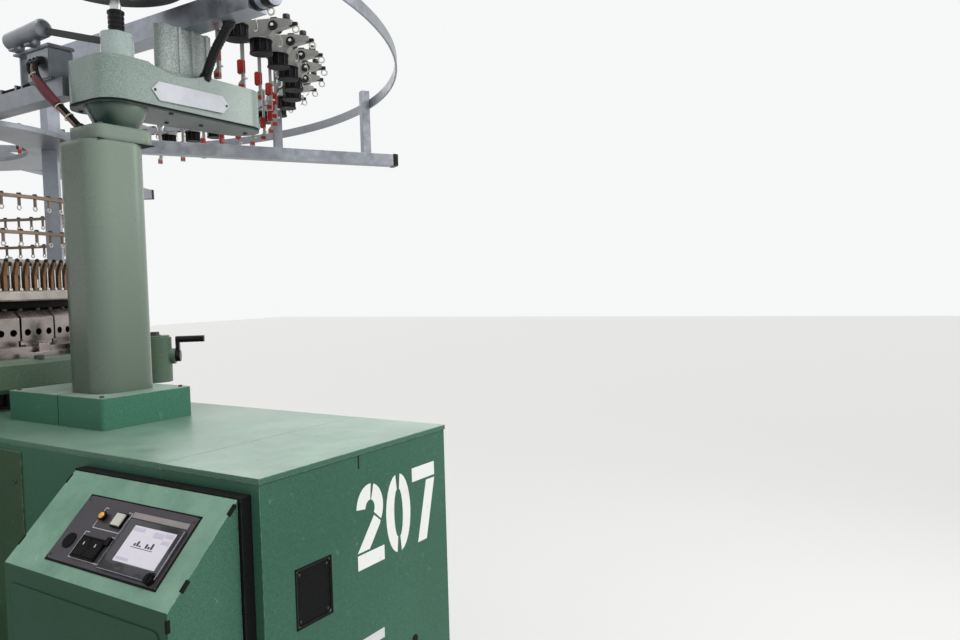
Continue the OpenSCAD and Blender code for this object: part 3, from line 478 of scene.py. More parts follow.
def facing(p, direction):
    """Local +Z points along direction at p."""
    return at(*p) @ Vector(direction).to_track_quat("Z", "Y").to_matrix().to_4x4()


def on_circle(r, deg, z):
    return Vector((r * cos(radians(deg)), r * sin(radians(deg)), z))


def around(middle, half):
    return middle - half, middle + half


def border(x0, x1, y0, y1, w):
    """Four bars of width w inside a rectangle's edge."""
    return (x0, x0 + w, y0, y1), (x1 - w, x1, y0, y1), (x0, x1, y0, y0 + w), (x0, x1, y1 - w, y1)


def smooth_path(points, per=8):
    """Catmull-Rom through the points."""
    p = [Vector(q) for q in points]
    p = [p[0] * 2 - p[1]] + p + [p[-1] * 2 - p[-2]]
    out = []
    for i in range(1, len(p) - 2):
        for k in range(per):
            t = k / per
            a, b, c, d = p[i - 1:i + 3]
            out.append(0.5 * ((2 * b) + (c - a) * t + (2 * a - 5 * b + 4 * c - d) * t * t
                              + (3 * b - a - 3 * c + d) * t ** 3))
    out.append(p[-2])
    return out


# Places, mostly from the frame

X, Y, Z = range(3)
SINK = 0.0002  # how deep a small piece stands in what carries it


def low(name, axis):
    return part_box(name)[0][axis]


def high(name, axis):
    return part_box(name)[1][axis]


CONSOLE_LEFT, CONSOLE_RIGHT = low("console_box", X), high("console_box", X)
CONSOLE_FRONT, CONSOLE_BACK = low("console_box", Y), high("console_box", Y)
CONSOLE_TOP = high("console_box", Z)
PANEL_FACE = low("side_panel", Y)
HOUSING_BACK = high("drive_housing", Y)
END_FACE = high("control_cabinet", X)
TOP_COVER = high("left_top_cover", Z)
BASE_COVER_SIDE, BASE_COVER_TOP = high("column_base_cover", Y), high("column_base_cover", Z)
COLUMN_TOP = high("main_column", Z)
ADAPTER_TOP = COLUMN_TOP + 0.036
ARM_UNDERSIDE, ARM_LOW = low("top_arm_cover", Z), low("top_arm", Z)
SHAFT = at(1.05, 0.045, 0)
SLEEVE_LOW, SLEEVE_TOP = low("shaft_sleeve", Z), high("shaft_sleeve", Z)
BEAM_END, BEAM_LOW, BEAM_HIGH = -low("radial_beams", X), low("radial_beams", Z), high("radial_beams", Z)
BEAM_TOP = low("ring_posts", Z)
HUB_TOP = high("hub_ring", Z)
BED_TOP = high("bed_ring", Z)
CAM_BOX_LOW, CAM_BOX_TOP = low("cam_boxes", Z), high("cam_boxes", Z)
GEARCASE_TOP = high("crank_gearcase", Z)
GUARD_R, SHOULDER_LOW = 0.985, low("guard_shoulder", Z)

# Console; on its slope x runs along the machine, y down the slope and z out of it

SLOPE_COS, SLOPE_SIN = 0.7109, 0.7033
SLOPE = Matrix(((1, 0, 0, 0), (0, -SLOPE_COS, -SLOPE_SIN, CONSOLE_BACK),
                (0, -SLOPE_SIN, SLOPE_COS, CONSOLE_TOP), (0, 0, 0, 1)))
BEZEL_FACE, DISPLAY_FACE, GLASS_FACE, MARK_FACE = 0.0024, 0.0074, 0.006, 0.00635
CONTROL_GROUPS = ((1.522, 1.6, 0.06, 0.0985, 1.53, 1.59), (1.513, 1.6015, 0.1075, 0.156, 1.524, 1.591))
LAMP_X, LAMP_Y, LAMP_R = 1.534, 0.077, 0.0062
SOUNDER_X, SOUNDER_Y, SOUNDER_R = 1.487, 0.13, 0.0135


def panel_print():
    """Printed frames around two groups of controls, each open in one side, and a plain strip."""
    half_width = 0.0007
    lines = Piece()
    for x0, x1, y0, y1, gap_start, gap_end in CONTROL_GROUPS:
        corners = (gap_start, y0), (x0, y0), (x0, y1), (x1, y1), (x1, y0), (gap_end, y0)
        for a, b in zip(corners, corners[1:]):
            a, b = Vector(a), Vector(b)
            d = (b - a).normalized() * half_width
            n = Vector((-d.y, d.x))
            outline = a - d - n, b + d - n, b + d + n, a - d + n
            lines.prism(outline, BEZEL_FACE, BEZEL_FACE + 0.0005, m=SLOPE)
    lines.done("panel_lines", "label_white", smooth=0)
    Piece().slab(1.604, 1.752, 0.0565, 0.0675, BEZEL_FACE, 0.0042, 0.0005, SLOPE).done("panel_strip", "strip")


def screen():
    """The display's bright edge, its glass, plain fields and two groups of bars."""
    edge = Piece()
    for *bar, top in ((1.7545, 1.7565, 0.072, 0.156, 0.0083), (1.6042, 1.6054, 0.0705, 0.1585, 0.008),
                      (1.608, 1.745, 0.1603, 0.1617, 0.0081)):
        edge.slab(*bar, DISPLAY_FACE, top, 0.0003, SLOPE)
    edge.done("display_edge", "zinc")
    glass = Piece().slab(1.6305, 1.7405, 0.0785, 0.1435, 0.0045, GLASS_FACE + SINK, 0.0006, SLOPE)
    glass.done("screen_glass", "screen")
    fields = Piece()
    for field in ((1.634, 1.664, 0.082, 0.0875), (1.69, 1.715, 0.0835, 0.0925),
                  (1.7185, 1.737, 0.082, 0.0885), (1.7185, 1.737, 0.0945, 0.1),
                  (1.636, 1.668, 0.135, 0.1395)):
        fields.slab(*field, GLASS_FACE, MARK_FACE, 0, SLOPE)
    fields.done("screen_fields", "screen_tint", smooth=0)
    bars = Piece()
    bar_width, bar_foot = 0.0052, 0.1125
    for x, head in ((1.657, 0.108), (1.664, 0.1035), (1.671, 0.11),
                    (1.687, 0.105), (1.694, 0.1085), (1.701, 0.1025)):
        bars.slab(x, x + bar_width, head, bar_foot, GLASS_FACE, MARK_FACE, 0, SLOPE)
    bars.slab(1.653, 1.711, bar_foot + 0.002, bar_foot + 0.003, GLASS_FACE, MARK_FACE, 0, SLOPE)
    bars.done("screen_marks", "bezel", smooth=0)


def lamp_and_sounder():
    lens, collar, grille = Piece(), Piece(), Piece()
    dome = [(LAMP_R * cos(radians(a)), 0.002 + 0.0036 * sin(radians(a))) for a in range(0, 90, 10)]
    lens.lathe([(0, 0), (LAMP_R, 0)] + dome + [(0, 0.0057)], 24, SLOPE @ at(LAMP_X, LAMP_Y, 0.008))
    lens.done("lamp_lens", "amber")
    inner, outer = LAMP_R + 0.0001, LAMP_R + 0.0026
    collar.lathe([(inner, 0), (outer, 0), (outer, 0.0018), (0.0075, 0.003), (inner, 0.003), (inner, 0)], 28,
                 SLOPE @ at(LAMP_X, LAMP_Y, 0.007))
    collar.done("lamp_collar", "control")
    pitch, slot = 0.0031, 0.0014
    for k in range(-4, 5):
        half = SOUNDER_R * sqrt(1 - (k / 4.6) ** 2)
        bar = *around(SOUNDER_X, half), *around(SOUNDER_Y + k * pitch, slot / 2)
        grille.slab(*bar, 0.0034, 0.0052, 0.0003, SLOPE, 1)
    grille.done("sounder_grille", "control")


def bezel_details():
    screws, seal = Piece(), Piece()
    for x, y in ((1.463, 0.0505), (1.7555, 0.0505), (1.463, 0.1595), (1.604, 0.1595)):
        screws.screw(SLOPE @ at(x, y, BEZEL_FACE - SINK), 0.0026, 0.0016)
    screws.done("bezel_screws", "dark_iron")
    for x, side in ((1.538, "left"), (1.571, "right")):
        mark = Piece().slab(*around(x, 0.0012), 0.1265, 0.1325, 0.007, 0.0088, 0.0003, SLOPE)
        mark.done("rocker_mark_" + side, "label_white", body="rocker_" + side, smooth=0)
    for bar in border(1.4535, 1.7655, 0.0395, 0.1705, 0.004):
        seal.slab(*bar, -0.0005, 0.0012, 0.0005, SLOPE)
    seal.done("bezel_seal", "rubber")


def console_clips():
    """Small black clips over the console's edges."""
    inset, half_width, half_length, soft = 0.001, 0.0022, 0.01, 0.0006
    clips = Piece()
    right, left = around(CONSOLE_RIGHT - inset, half_width), around(CONSOLE_LEFT + inset, half_width)
    for y in (0.018, 0.15):
        for edge in (right, left):
            clips.slab(*edge, *around(y, half_length), -0.006, 0.0012, soft, SLOPE)
    for z in (0.999, 0.52, 0.3):
        clips.slab(*right, CONSOLE_FRONT - 0.0012, CONSOLE_FRONT + 0.006, *around(z, half_length), soft)
    clips.done("console_clips", "rubber")


def cover_details():
    """Screws of the console, the side panel and the base cover, and the base cover's joint."""
    screws, seam = Piece(), Piece()
    front = (0, -1, 0)
    for x in (1.372, 1.796):
        for z in (0.21, 0.52, 0.84):
            screws.screw(facing((x, CONSOLE_FRONT + SINK, z), front), 0.0055, 0.004)
    for z in (0.2, 0.5, 0.8, 1.1):
        for x in (0.725, 1.086):
            screws.screw(facing((x, PANEL_FACE + SINK, z), front), 0.0055, 0.004)
    for y in (-0.104, 0.104):
        for x in (0.8, 1.155):
            screws.screw(at(x, y, BASE_COVER_TOP - SINK), 0.005, 0.004)
    screws.done("cover_screws", "dark_iron")
    joint = (0.999, 1.0002)
    side, proud, deep = BASE_COVER_SIDE, 0.0006, 0.001
    for y0, y1 in ((-side - proud, -side + deep), (side - deep, side + proud)):
        seam.slab(*joint, y0, y1, TOP_COVER + 0.0005, BASE_COVER_TOP - 0.0005)
    seam.slab(*joint, -side, side, BASE_COVER_TOP - 0.0008, BASE_COVER_TOP + 0.0004)
    seam.done("base_cover_seam", "rubber", smooth=0)


# End face; on it x is the machine's y, y its z, and z points out

SIDEWAYS = Matrix(((0, 0, 1, 0), (1, 0, 0, 0), (0, 1, 0, 0), (0, 0, 0, 1)))
END = at(END_FACE, 0, 0) @ SIDEWAYS
WINDOW = (-0.19, -0.106, 0.909, 1.01)
WINDOW_DEPTH = 0.0258


def end_window():
    """The closed window: its lining, a black cover with four screws, and the rim."""
    y0, y1, z0, z1 = WINDOW
    lining, pane, screws, rim = Piece(), Piece(), Piece(), Piece()
    wall, gap, rim_width = 0.0012, 0.0004, 0.0035
    lining.slab(*WINDOW, -WINDOW_DEPTH, wall - WINDOW_DEPTH, 0, END)
    for bar in border(*WINDOW, wall):
        lining.slab(*bar, -WINDOW_DEPTH, 0.0004, 0, END)
    lining.done("window_lining", "black_plastic", smooth=0)
    pane.slab(y0 + gap, y1 - gap, z0 + gap, z1 - gap, -0.0062, -0.0016, 0.0012, END)
    pane.done("window_pane", "black")
    for z in (z0 + 0.009, z1 - 0.009):
        for y in (y0 + 0.008, y1 - 0.008):
            screws.screw(END @ at(y, z, -0.0017), 0.0024, 0.0012)
    screws.done("window_screws", "dark_iron")
    for bar in border(y0 - rim_width, y1 + rim_width, z0 - rim_width, z1 + rim_width, rim_width):
        rim.slab(*bar, -0.001, 0.0014, 0.0008, END)
    rim.done("window_rim", "rubber")


def end_fittings():
    """Blank label, plug, a black slab of painted shade in the notch under the top cover, louvres and screws.
    """
    label, plug, notch, vents, screws = (Piece() for _ in range(5))
    label.slab(-0.03, 0.04, 0.802, 0.822, -SINK, 0.0006, 0.0002, END)
    label.done("blank_label", "label_white")
    plug.lathe(stub(0.009, 0, 0.0015, 0.006, 0.0024), 20, END @ at(0.138, 0.758, -0.0004))
    plug.done("end_plug", "rubber")
    # Painted shade: a black slab stands for the shade inside the notch under the top cover.
    notch.slab(-0.0218, -0.0184, 1.152, 1.1784, -0.001, 0.001, 0.0004, END)
    notch.done("cover_notch_shade", "black_plastic")
    louvre_pitch, louvre_height = 0.024, 0.008
    for k in range(9):
        z = 0.235 + louvre_pitch * k
        vents.slab(-0.085, 0.085, z, z + louvre_height, -0.0005, 0.0035, 0.0016, END)
    vents.done("end_louvres", "green")
    for y in (-0.245, 0.245):
        for z in (0.16, 0.42, 0.68):
            screws.screw(END @ at(y, z, -0.0004), 0.0042, 0.0016)
    screws.done("end_screws", "green")


# Number on the end face

DIGIT_HEIGHT, DIGIT_STEP, DIGIT_SQUEEZE = 0.16, 0.0875, 0.82
NUMBER_LEFT, NUMBER_FOOT = -0.031, 0.957


def bow(cx, cy, outer, inner, start, end, stretch=1.0):
    """Outline of a bent stroke, stretched in y and as wide at its top as at its side."""
    steps = 14
    inner_stretch = (stretch * outer - (outer - inner)) / inner
    pts = []
    for r, tall, a0, a1 in ((outer, stretch, start, end), (inner, inner_stretch, end, start)):
        turns = [radians(a0 + (a1 - a0) * k / steps) for k in range(steps + 1)]
        pts += [(cx + r * cos(a), cy + tall * r * sin(a)) for a in turns]
    return pts


# Strokes of the stencil figures, 0.6 wide and 1 high
FIGURES = {
    2: [bow(0.3, 0.7, 0.3, 0.105, 174, 84), bow(0.3, 0.7, 0.3, 0.105, 72, -36),
        [(0.54, 0.495), (0.385, 0.6), (0, 0.21), (0.265, 0.21)],
        [(0, 0), (0.6, 0), (0.6, 0.18), (0, 0.18)]],
    0: [bow(0.285, 0.5, 0.285, 0.092, 98, 262, 1.754), bow(0.315, 0.5, 0.285, 0.092, 82, -82, 1.754)],
    7: [[(0, 0.82), (0.6, 0.82), (0.6, 1), (0, 1)], [(0.6, 0.785), (0.37, 0.785), (0.11, 0.0), (0.345, 0.0)]],
}


def stencil():
    number = Piece()
    for k, figure in enumerate((2, 0, 7)):
        left = NUMBER_LEFT + k * DIGIT_STEP
        for stroke in FIGURES[figure]:
            number.prism([(left + x * DIGIT_HEIGHT * DIGIT_SQUEEZE, NUMBER_FOOT + y * DIGIT_HEIGHT)
                          for x, y in stroke], -SINK, 0.0004, 0, END)
    number.done("stencil_number", "stencil", smooth=0)


# Top arm: corners of its outline as x, y and radius

ARM_CORNERS = ((0.975, 0.025, 0.055), (1.057, 0.025, 0.055), (1.035, 0.42, 0.062))
ARM_RIGHT = ARM_CORNERS[1][0] + ARM_CORNERS[1][2]


def arm_outline(grow, steps):
    """Three rounded corners joined by their common tangents."""
    turns = []
    for k in range(3):
        (x0, y0, r0), (x1, y1, r1) = ARM_CORNERS[k], ARM_CORNERS[(k + 1) % 3]
        turns.append(atan2(y1 - y0, x1 - x0) - acos((r0 - r1) / hypot(x1 - x0, y1 - y0)))
    pts = []
    for k, (x, y, r) in enumerate(ARM_CORNERS):
        a0, a1 = turns[k - 1], turns[k]
        while a1 < a0:
            a1 += 2 * pi
        angles = [a0 + (a1 - a0) * j / steps for j in range(steps + 1)]
        pts += [(x + (r + grow) * cos(a), y + (r + grow) * sin(a)) for a in angles]
    return pts


def arm_details():
    """Gasket, a bare plate on the right side, bolts, and the seam under the adapter."""
    gasket, plate, rivets, bolts, seam = (Piece() for _ in range(5))
    gasket.prism(arm_outline(0.0006, 16), ARM_LOW - 0.0015, ARM_LOW + 0.0025)
    gasket.done("arm_gasket", "rubber", smooth=50)

    tilt = asin(0.015 / 0.395) - 0.0176  # of the arm's right side against the y axis
    side = at(ARM_RIGHT + SINK, 0.025, 0) @ Matrix.Rotation(tilt, 4, "Z") @ at(0, -0.025, 0) @ SIDEWAYS
    plate.prism([(0.092, 2.004), (0.1135, 1.979), (0.315, 1.982), (0.335, 2.0035), (0.313, 2.0285),
                 (0.1135, 2.0265)], -0.0006, 0.0014, 0.0004, side)
    plate.done("arm_plate", "plate_white")
    for y, z in ((0.1015, 2.004), (0.3255, 2.0035)):
        rivets.screw(side @ at(y, z, 0.001), 0.0036, 0.002)
    rivets.done("arm_plate_screws", "dark_iron")

    for x, y in ((1.092, 0.16), (0.99, 0.22), (1.035, 0.45), (0.94, 0.01), (1.03, 0.3)):
        bolts.screw(facing((x, y, ARM_UNDERSIDE + SINK), (0, 0, -1)), 0.006, 0.003)
    for y in (-0.04, 0.078):
        for x in (1, 1.098):
            bolts.screw(at(x, y, ADAPTER_TOP - SINK), 0.006, 0.005)
    bolts.done("arm_screws", "dark_iron")
    seam.slab(0.9848, 1.1128, -0.0558, 0.0938, COLUMN_TOP - 0.0008, COLUMN_TOP + 0.0012, 0.0008)
    seam.done("adapter_seam", "rubber")


def shaft_details():
    """Two collars on the sleeve, the shaft's bright skin and the pulley's machined rim."""
    collars, skin, rim = Piece(), Piece(), Piece()
    for z in (SLEEVE_LOW + 0.0012, SLEEVE_TOP - 0.0078):
        collars.lathe(ring(0.0185, 0.0203, z, z + 0.006, 0.0006), 36, SHAFT)
    collars.done("sleeve_collars", "black_plastic")
    skin.lathe(ring(0.0128, 0.0134, 2.1936, 2.2596, 0.0002), 36, SHAFT)
    skin.done("pulley_shaft_skin", "shaft", body="feed_pulley", smooth=50)
    rim.lathe(ring(0.1655, 0.1672, 2.2645, 2.2805), 96, SHAFT)
    rim.done("pulley_rim", "machined", body="feed_pulley")


def beam_details():
    """End caps and bolts of the beams, bolts of the hub, and the cap of the cross beam."""
    caps, bolts, fitting = Piece(), Piece(), Piece()
    for az in range(60, 301, 60):
        caps.slab(BEAM_END - 0.019, BEAM_END + 0.0016, *around(0, 0.0255), BEAM_LOW - SINK, BEAM_HIGH + SINK,
                  0.002, spin(az))
        for r in (0.385, 0.465, 1.165, 1.52):
            bolts.nut(spin(az) @ at(r, 0, BEAM_TOP - SINK), 0.0085, 0.007)
    caps.done("beam_caps", "black_plastic")
    for az in range(10, 360, 20):
        bolts.screw(spin(az) @ at(0.505, 0, HUB_TOP - SINK), 0.006, 0.005)
    for az in range(30, 360, 60):
        bolts.screw(spin(az) @ at(0.345, 0, HUB_TOP - SINK), 0.0075, 0.006)
    bolts.done("beam_bolts", "machined")
    m = facing((1.329, 0.245, 2.22), (1, 0, 0))
    fitting.lathe(ring(0.0272, 0.029, 0, 0.016, 0.002), 32, m)
    fitting.lathe([(0, 0.0585), (0.0285, 0.0585), (0.0285, 0.036), (0.0272, 0.034), (0.0262, 0.034),
                   (0.0262, 0.0605), (0, 0.0608)], 32, m)
    fitting.done("cross_beam_cap", "black_plastic")


# Knitting head

NEEDLES = 576
CAM_BOXES = 28
GUIDES = 96
GUIDE_R = 0.484
STUDS = 60
STUD_R = 0.5
CARRIER_TOP = 1.61


def cylinder_details():
    needles = Piece()
    for k in range(NEEDLES):
        needles.slab(0.3796, 0.3818, *around(0, 0.0007), 1.463, 1.4795, 0, spin(360 * k / NEEDLES))
    needles.done("needle_hooks", "shaft", body="cylinder", smooth=0)


def cam_box_details():
    """Sockets and screws of the cam boxes, and a black ring of painted shade in the gap between them and the
    dial.
    """
    sockets, screws, shade_ring = Piece(), Piece(), Piece()
    socket = [(0, 0), (0.0102, 0), (0.0102, 0.012), (0.0052, 0.012), (0.0052, 0.006), (0, 0.006)]
    for k in range(CAM_BOXES):
        for side in (-1, 0, 1):
            m = spin(360 / CAM_BOXES * (k + side / 3.2)) @ at(0.4796, 0, 1.393) @ spin(90, "Y")
            sockets.lathe(socket, 14, m)
    sockets.done("cam_hole_sockets", "black")
    for k in range(CAM_BOXES):
        m = spin(360 * k / CAM_BOXES)
        for side in (-1, 1):
            screws.screw(m @ spin(side * 3.6) @ at(0.4755, 0, CAM_BOX_TOP - SINK), 0.0065, 0.006)
        screws.slab(0.5092, 0.5122, -0.0035, 0.0035, 1.37, 1.3765, 0.0008, m @ spin(180 / CAM_BOXES), 1)
    screws.done("cam_box_screws", "dark_iron")
    # Painted shade: a black ring fills the gap between the cam boxes and the dial, where the deep shade lies.
    r, foot, top = 0.392, CAM_BOX_TOP + SINK, 1.4845
    shade_ring.lathe([(r, foot), (0.462, foot), (0.468, 1.464), (0.468, top), (r, top), (r, foot)], 96)
    shade_ring.done("dial_gap_shade", "black")


def guide_details():
    """A pin with its bead between every two yarn guides, and a bead on each guide."""
    pins, beads = Piece(), Piece()
    pin = [(0, 1.515), (0.0062, 1.515), (0.0062, 1.522), (0.0026, 1.524), (0.0026, 1.592), (0, 1.592)]
    bead = [(0, 1.586), (0.0055, 1.588), (0.007, 1.593), (0.0055, 1.599), (0, 1.601)]
    ball = [(0, -0.0065), (0.0046, -0.0046), (0.0065, 0), (0.0046, 0.0046), (0, 0.0065)]
    for k in range(GUIDES):
        m = spin(360 * (k + 0.5) / GUIDES) @ at(GUIDE_R, 0, 0)
        pins.lathe(pin, 10, m)
        beads.lathe(bead, 10, m)
        beads.lathe(ball, 10, spin(360 * k / GUIDES) @ at(0.4965, 0, 1.6035))
    pins.done("guide_pins", "shaft", smooth=50)
    beads.done("guide_beads", "black_plastic", smooth=60)


def stud_details():
    eyelets, nuts = Piece(), Piece()
    for z in (1.685, 1.79):
        for k in range(STUDS):
            m = spin(360 / STUDS * (k + 0.5))
            eyelets.torus(0.0062, 0.0021, m @ at(STUD_R, 0, z - 0.0335) @ spin(90, "Y"), 14, 6)
            nuts.nut(m @ at(STUD_R, 0, z + 0.0045), 0.0062, 0.0055)
    eyelets.done("stud_eyelets", "ceramic")
    nuts.done("stud_nuts", "dark_iron")


def bed_details():
    """Screws of the cam ring, the bed, the crank's gear case and the dial carrier."""
    screws, caps = Piece(), Piece()
    for k in range(36):
        screws.screw(spin(10 * k + 5) @ at(0.54, 0, CAM_BOX_LOW - SINK), 0.0062, 0.005)
    for k in range(24):
        screws.screw(spin(15 * k + 2) @ at(0.662, 0, BED_TOP - 0.0004), 0.0125, 0.0115)
    screws.nut(spin(43.5) @ at(0.707, 0, GEARCASE_TOP - SINK), 0.015, 0.013)
    screws.done("bed_screws", "dark_iron")
    for k in range(12):
        caps.screw(spin(30 * k + 8) @ at(0.46, 0, CARRIER_TOP - SINK), 0.006, 0.005)
    caps.done("carrier_screws", "machined")


# Take-down guard: each door with its body, side, free edge's azimuth and the way to its hinge

DOORS = (("front_door_a", "front_door_near_console", -1, 54, -1),
         ("front_door_b", "front_door_left", -1, 60, 1),
         ("rear_door_a", "rear_door_near_housing", 1, 54, -1),
         ("rear_door_b", "rear_door_left", 1, 60, 1))
VENT_ROWS, VENT_PITCH, VENT_LOW = 7, 0.05, 0.1975
WINDOW_AZIMUTHS = (36, 80, 122, 160, 200, 238, 280, 324)
WINDOW_HALF = 11
SHOULDER_TAPER = 0.8


def door_details():
    """A latch at each door's free edge, and a thin trim under each row of its vents."""
    for name, body, side, free_edge, away in DOORS:
        latch, trim = Piece(), Piece()
        m = spin(side * (free_edge + away * 1.4))
        latch.slab(0.9945, 0.9995, *around(0, 0.011), 0.6835, 0.7165, 0.003, m)
        latch.done(name + "_latch", "black_plastic", body=body)
        row = [side * (free_edge + away * (2.6 + 7.9 * k / 8)) for k in range(9)]
        for j in range(VENT_ROWS):
            trim.tube([on_circle(GUARD_R + 0.0008, a, VENT_LOW + VENT_PITCH * j) for a in row], 0.0012, 6)
        trim.done(name + "_vent_trim", "green", body=body)


def on_shoulder(az, z, out):
    return on_circle(GUARD_R - (z - SHOULDER_LOW) * SHOULDER_TAPER + out, az, z)


def shoulder_normal(az):
    return on_circle(0.781, az, 0.625)


def guard_details():
    """Window seals and the screws of the shoulder, the rear panel and the back of the housing."""
    seals, screws = Piece(), Piece()
    seal_r, out, sunk = 0.0042, 0.0006, -0.0005
    for mid in WINDOW_AZIMUTHS:
        first, last = around(mid, WINDOW_HALF)
        for z in (0.8705, 1.0795):
            seals.tube([on_shoulder(first + (last - first) * k / 10, z, out) for k in range(11)], seal_r, 8)
        for az in (first, last):
            seals.tube([on_shoulder(az, 0.868 + 0.214 * k / 4, out) for k in range(5)], seal_r, 8)
            for z in (0.856, 1.093):
                screws.screw(facing(on_shoulder(az, z, sunk), shoulder_normal(az)), 0.0062, 0.005)
    seals.done("window_seals", "rubber", smooth=50)
    for az in range(30, 331, 20):
        screws.screw(facing(on_shoulder(az, 0.802, sunk), shoulder_normal(az)), 0.0075, 0.006)
    for az in range(106, 255, 21):
        for z in (0.095, 0.742):
            screws.screw(facing(on_circle(GUARD_R - SINK, az, z), on_circle(1, az, 0)), 0.007, 0.005)
    for x in (1.1, 1.36, 1.62, 1.815):
        for z in (0.155, 1.125):
            screws.screw(facing((x, HOUSING_BACK - SINK, z), (0, 1, 0)), 0.0062, 0.005)
    screws.done("guard_screws", "dark_iron")


# Yarn feeders, all alike around the feeder ring

FEEDERS = 50
FEEDER_STEP = 6.66667
FIRST_FEEDER = 16.6667
WHEEL_R = 1.19
FEEDER_TOP = 2.2746
TENSION_DISC = [(0.0034, 0), (0.0034, 0.003), (0.0125, 0.0018), (0.0142, 0.003), (0.0125, 0.0044),
                (0.0048, 0.0048), (0.0125, 0.0062), (0.0142, 0.0054), (0.0125, 0.0078), (0.0034, 0.0066),
                (0.0034, 0)]
AXLE_END = [(0, 0), (0.0034, 0), (0.0034, 0.009), (0.005, 0.0096), (0.005, 0.0118), (0, 0.0122)]
FEEDER_CAP = [(0, 2.2876), (0.0098, 2.2876), (0.0108, 2.286), (0.0108, 2.272), (0.0098, 2.2712),
              (0.0098, 2.2716), (0, 2.2716)]
DRUM_ROD = [(0, 2.1835), (0.0017, 2.1835), (0.0017, 2.2165), (0, 2.2165)]


def feeder_details():
    """Wheels' rims and rods, stop lamps, caps, eyelets, wires, tension discs and clamps."""
    rims, rods, lamps, caps, eyes, wires, screws, clamps = (Piece() for _ in range(8))
    wire = smooth_path([(1.2315, 0, 2.2425), (1.244, 0, 2.236), (1.252, 0.004, 2.22), (1.249, 0.01, 2.204),
                        (1.243, 0.004, 2.199), (1.246, -0.004, 2.205)], 4)
    for m in (spin(FIRST_FEEDER + FEEDER_STEP * k) for k in range(FEEDERS)):
        wheel = m @ at(WHEEL_R, 0, 0)
        rims.torus(0.0327, 0.0013, wheel @ at(0, 0, 2.2205), 28, 6)
        for k in range(10):
            rods.lathe(DRUM_ROD, 6, wheel @ spin(36 * k) @ at(0.0303, 0, 0))
        lamps.slab(1.1155, 1.1375, *around(0, 0.0068), 2.128, 2.17, 0.003, m)
        lamps.slab(1.1172, 1.1362, *around(0, 0.0056), 2.0835, 2.0995, 0.002, m)
        caps.lathe(FEEDER_CAP, 14, m @ at(1.27, 0, 0))
        for y in (-0.0095, 0.0095):
            caps.slab(1.226, 1.246, *around(y, 0.004), 2.274, 2.2795, 0.0012, m, 1)
        caps.slab(1.277, 1.3035, *around(0, 0.006), 2.253, 2.264, 0.0015, m, 1)
        eyes.torus(0.0095, 0.0028, m @ at(1.2985, 0, 2.244) @ spin(90, "X"), 20, 8)
        eyes.torus(0.0058, 0.002, m @ at(1.1375, 0, 2.115), 14, 6)
        wires.tube([m @ p for p in wire], 0.0011, 5)
        for r in (1.157, 1.262):
            screws.screw(m @ at(r, 0, FEEDER_TOP - SINK), 0.0036, 0.0022)
        screws.screw(m @ at(1.1452, 0.017, 2.238) @ spin(-90, "X"), 0.0042, 0.0035)
        clamps.slab(1.1345, 1.156, *around(0, 0.0172), 2.22, 2.256, 0.0015, m, 1)
        for side in (-1, 1):
            axle = m @ at(1.236, side * 0.0146, 2.254) @ spin(-90 * side, "X")
            caps.lathe(TENSION_DISC, 16, axle)
            clamps.lathe(AXLE_END, 12, axle)
    rims.done("feeder_rims", "zinc")
    rods.done("feeder_drum_rods", "black_plastic")
    lamps.done("feeder_stop_lamps", "lamp_red")
    caps.done("feeder_caps", "black_plastic")
    eyes.done("feeder_eyelets", "ceramic")
    wires.done("feeder_wires", "shaft", smooth=60)
    screws.done("feeder_screws", "dark_iron")
    clamps.done("feeder_clamps", "shaft", smooth=50)


# Cables; all of them are held at both ends

BOX_FACE = -0.034
GLAND_PITCH = 0.018
GLAND_REACH = 0.014
CABLE_RADII = (0.0046, 0.004, 0.005)
CABLE_TURNS = (210, 90, 330)
BUNDLE_R = 0.0057
ROUTE_STEPS = 48
LEAVE, ARRIVE = Vector((0.42, -0.55, -0.72)).normalized(), Vector((-0.5, -0.38, 0.78)).normalized()
LOOM_R = 0.0056


def cable_routes():
    """Three cables that leave glands side by side and gather into one bundle, and the bundle's middle."""
    a = Vector((0.84, BOX_FACE - 0.01, 2.09)) + LEAVE * GLAND_REACH
    d = Vector((0.997, -0.026, ADAPTER_TOP)) + ARRIVE * 0.008
    b, c = a + LEAVE * 0.06, d + ARRIVE * 0.06
    routes, middle = [[], [], []], []
    for i in range(ROUTE_STEPS + 1):
        t = i / ROUTE_STEPS
        p = a * (1 - t) ** 3 + b * 3 * t * (1 - t) ** 2 + c * 3 * t * t * (1 - t) + d * t ** 3
        along = ((b - a) * (1 - t) ** 2 + (c - b) * 2 * t * (1 - t) + (d - c) * t * t).normalized()
        side = Vector((1, 0, 0))
        side = (side - along * side.dot(along)).normalized()
        front = along.cross(side)
        gather = min(t / 0.5, 1)
        gather = gather * gather * (3 - 2 * gather)
        middle.append(p)
        for k, turn in enumerate(CABLE_TURNS):
            bundled = (side * cos(radians(turn)) + front * sin(radians(turn))) * BUNDLE_R
            routes[k].append(p + Vector((GLAND_PITCH * (k - 1), 0, 0)) * (1 - gather) + bundled * gather)
    return routes, middle


def junction_box():
    box = Piece()
    box.slab(0.782, 0.886, BOX_FACE, 0.03, BEAM_TOP - 0.0005, 2.12, 0.004)
    box.slab(0.779, 0.889, BOX_FACE - 0.003, 0.033, 2.119, 2.128, 0.002)
    for x in (0.795, 0.873):
        box.screw(at(x, -0.002, 2.1276), 0.005, 0.003)
    box.done("junction_box", "zinc")


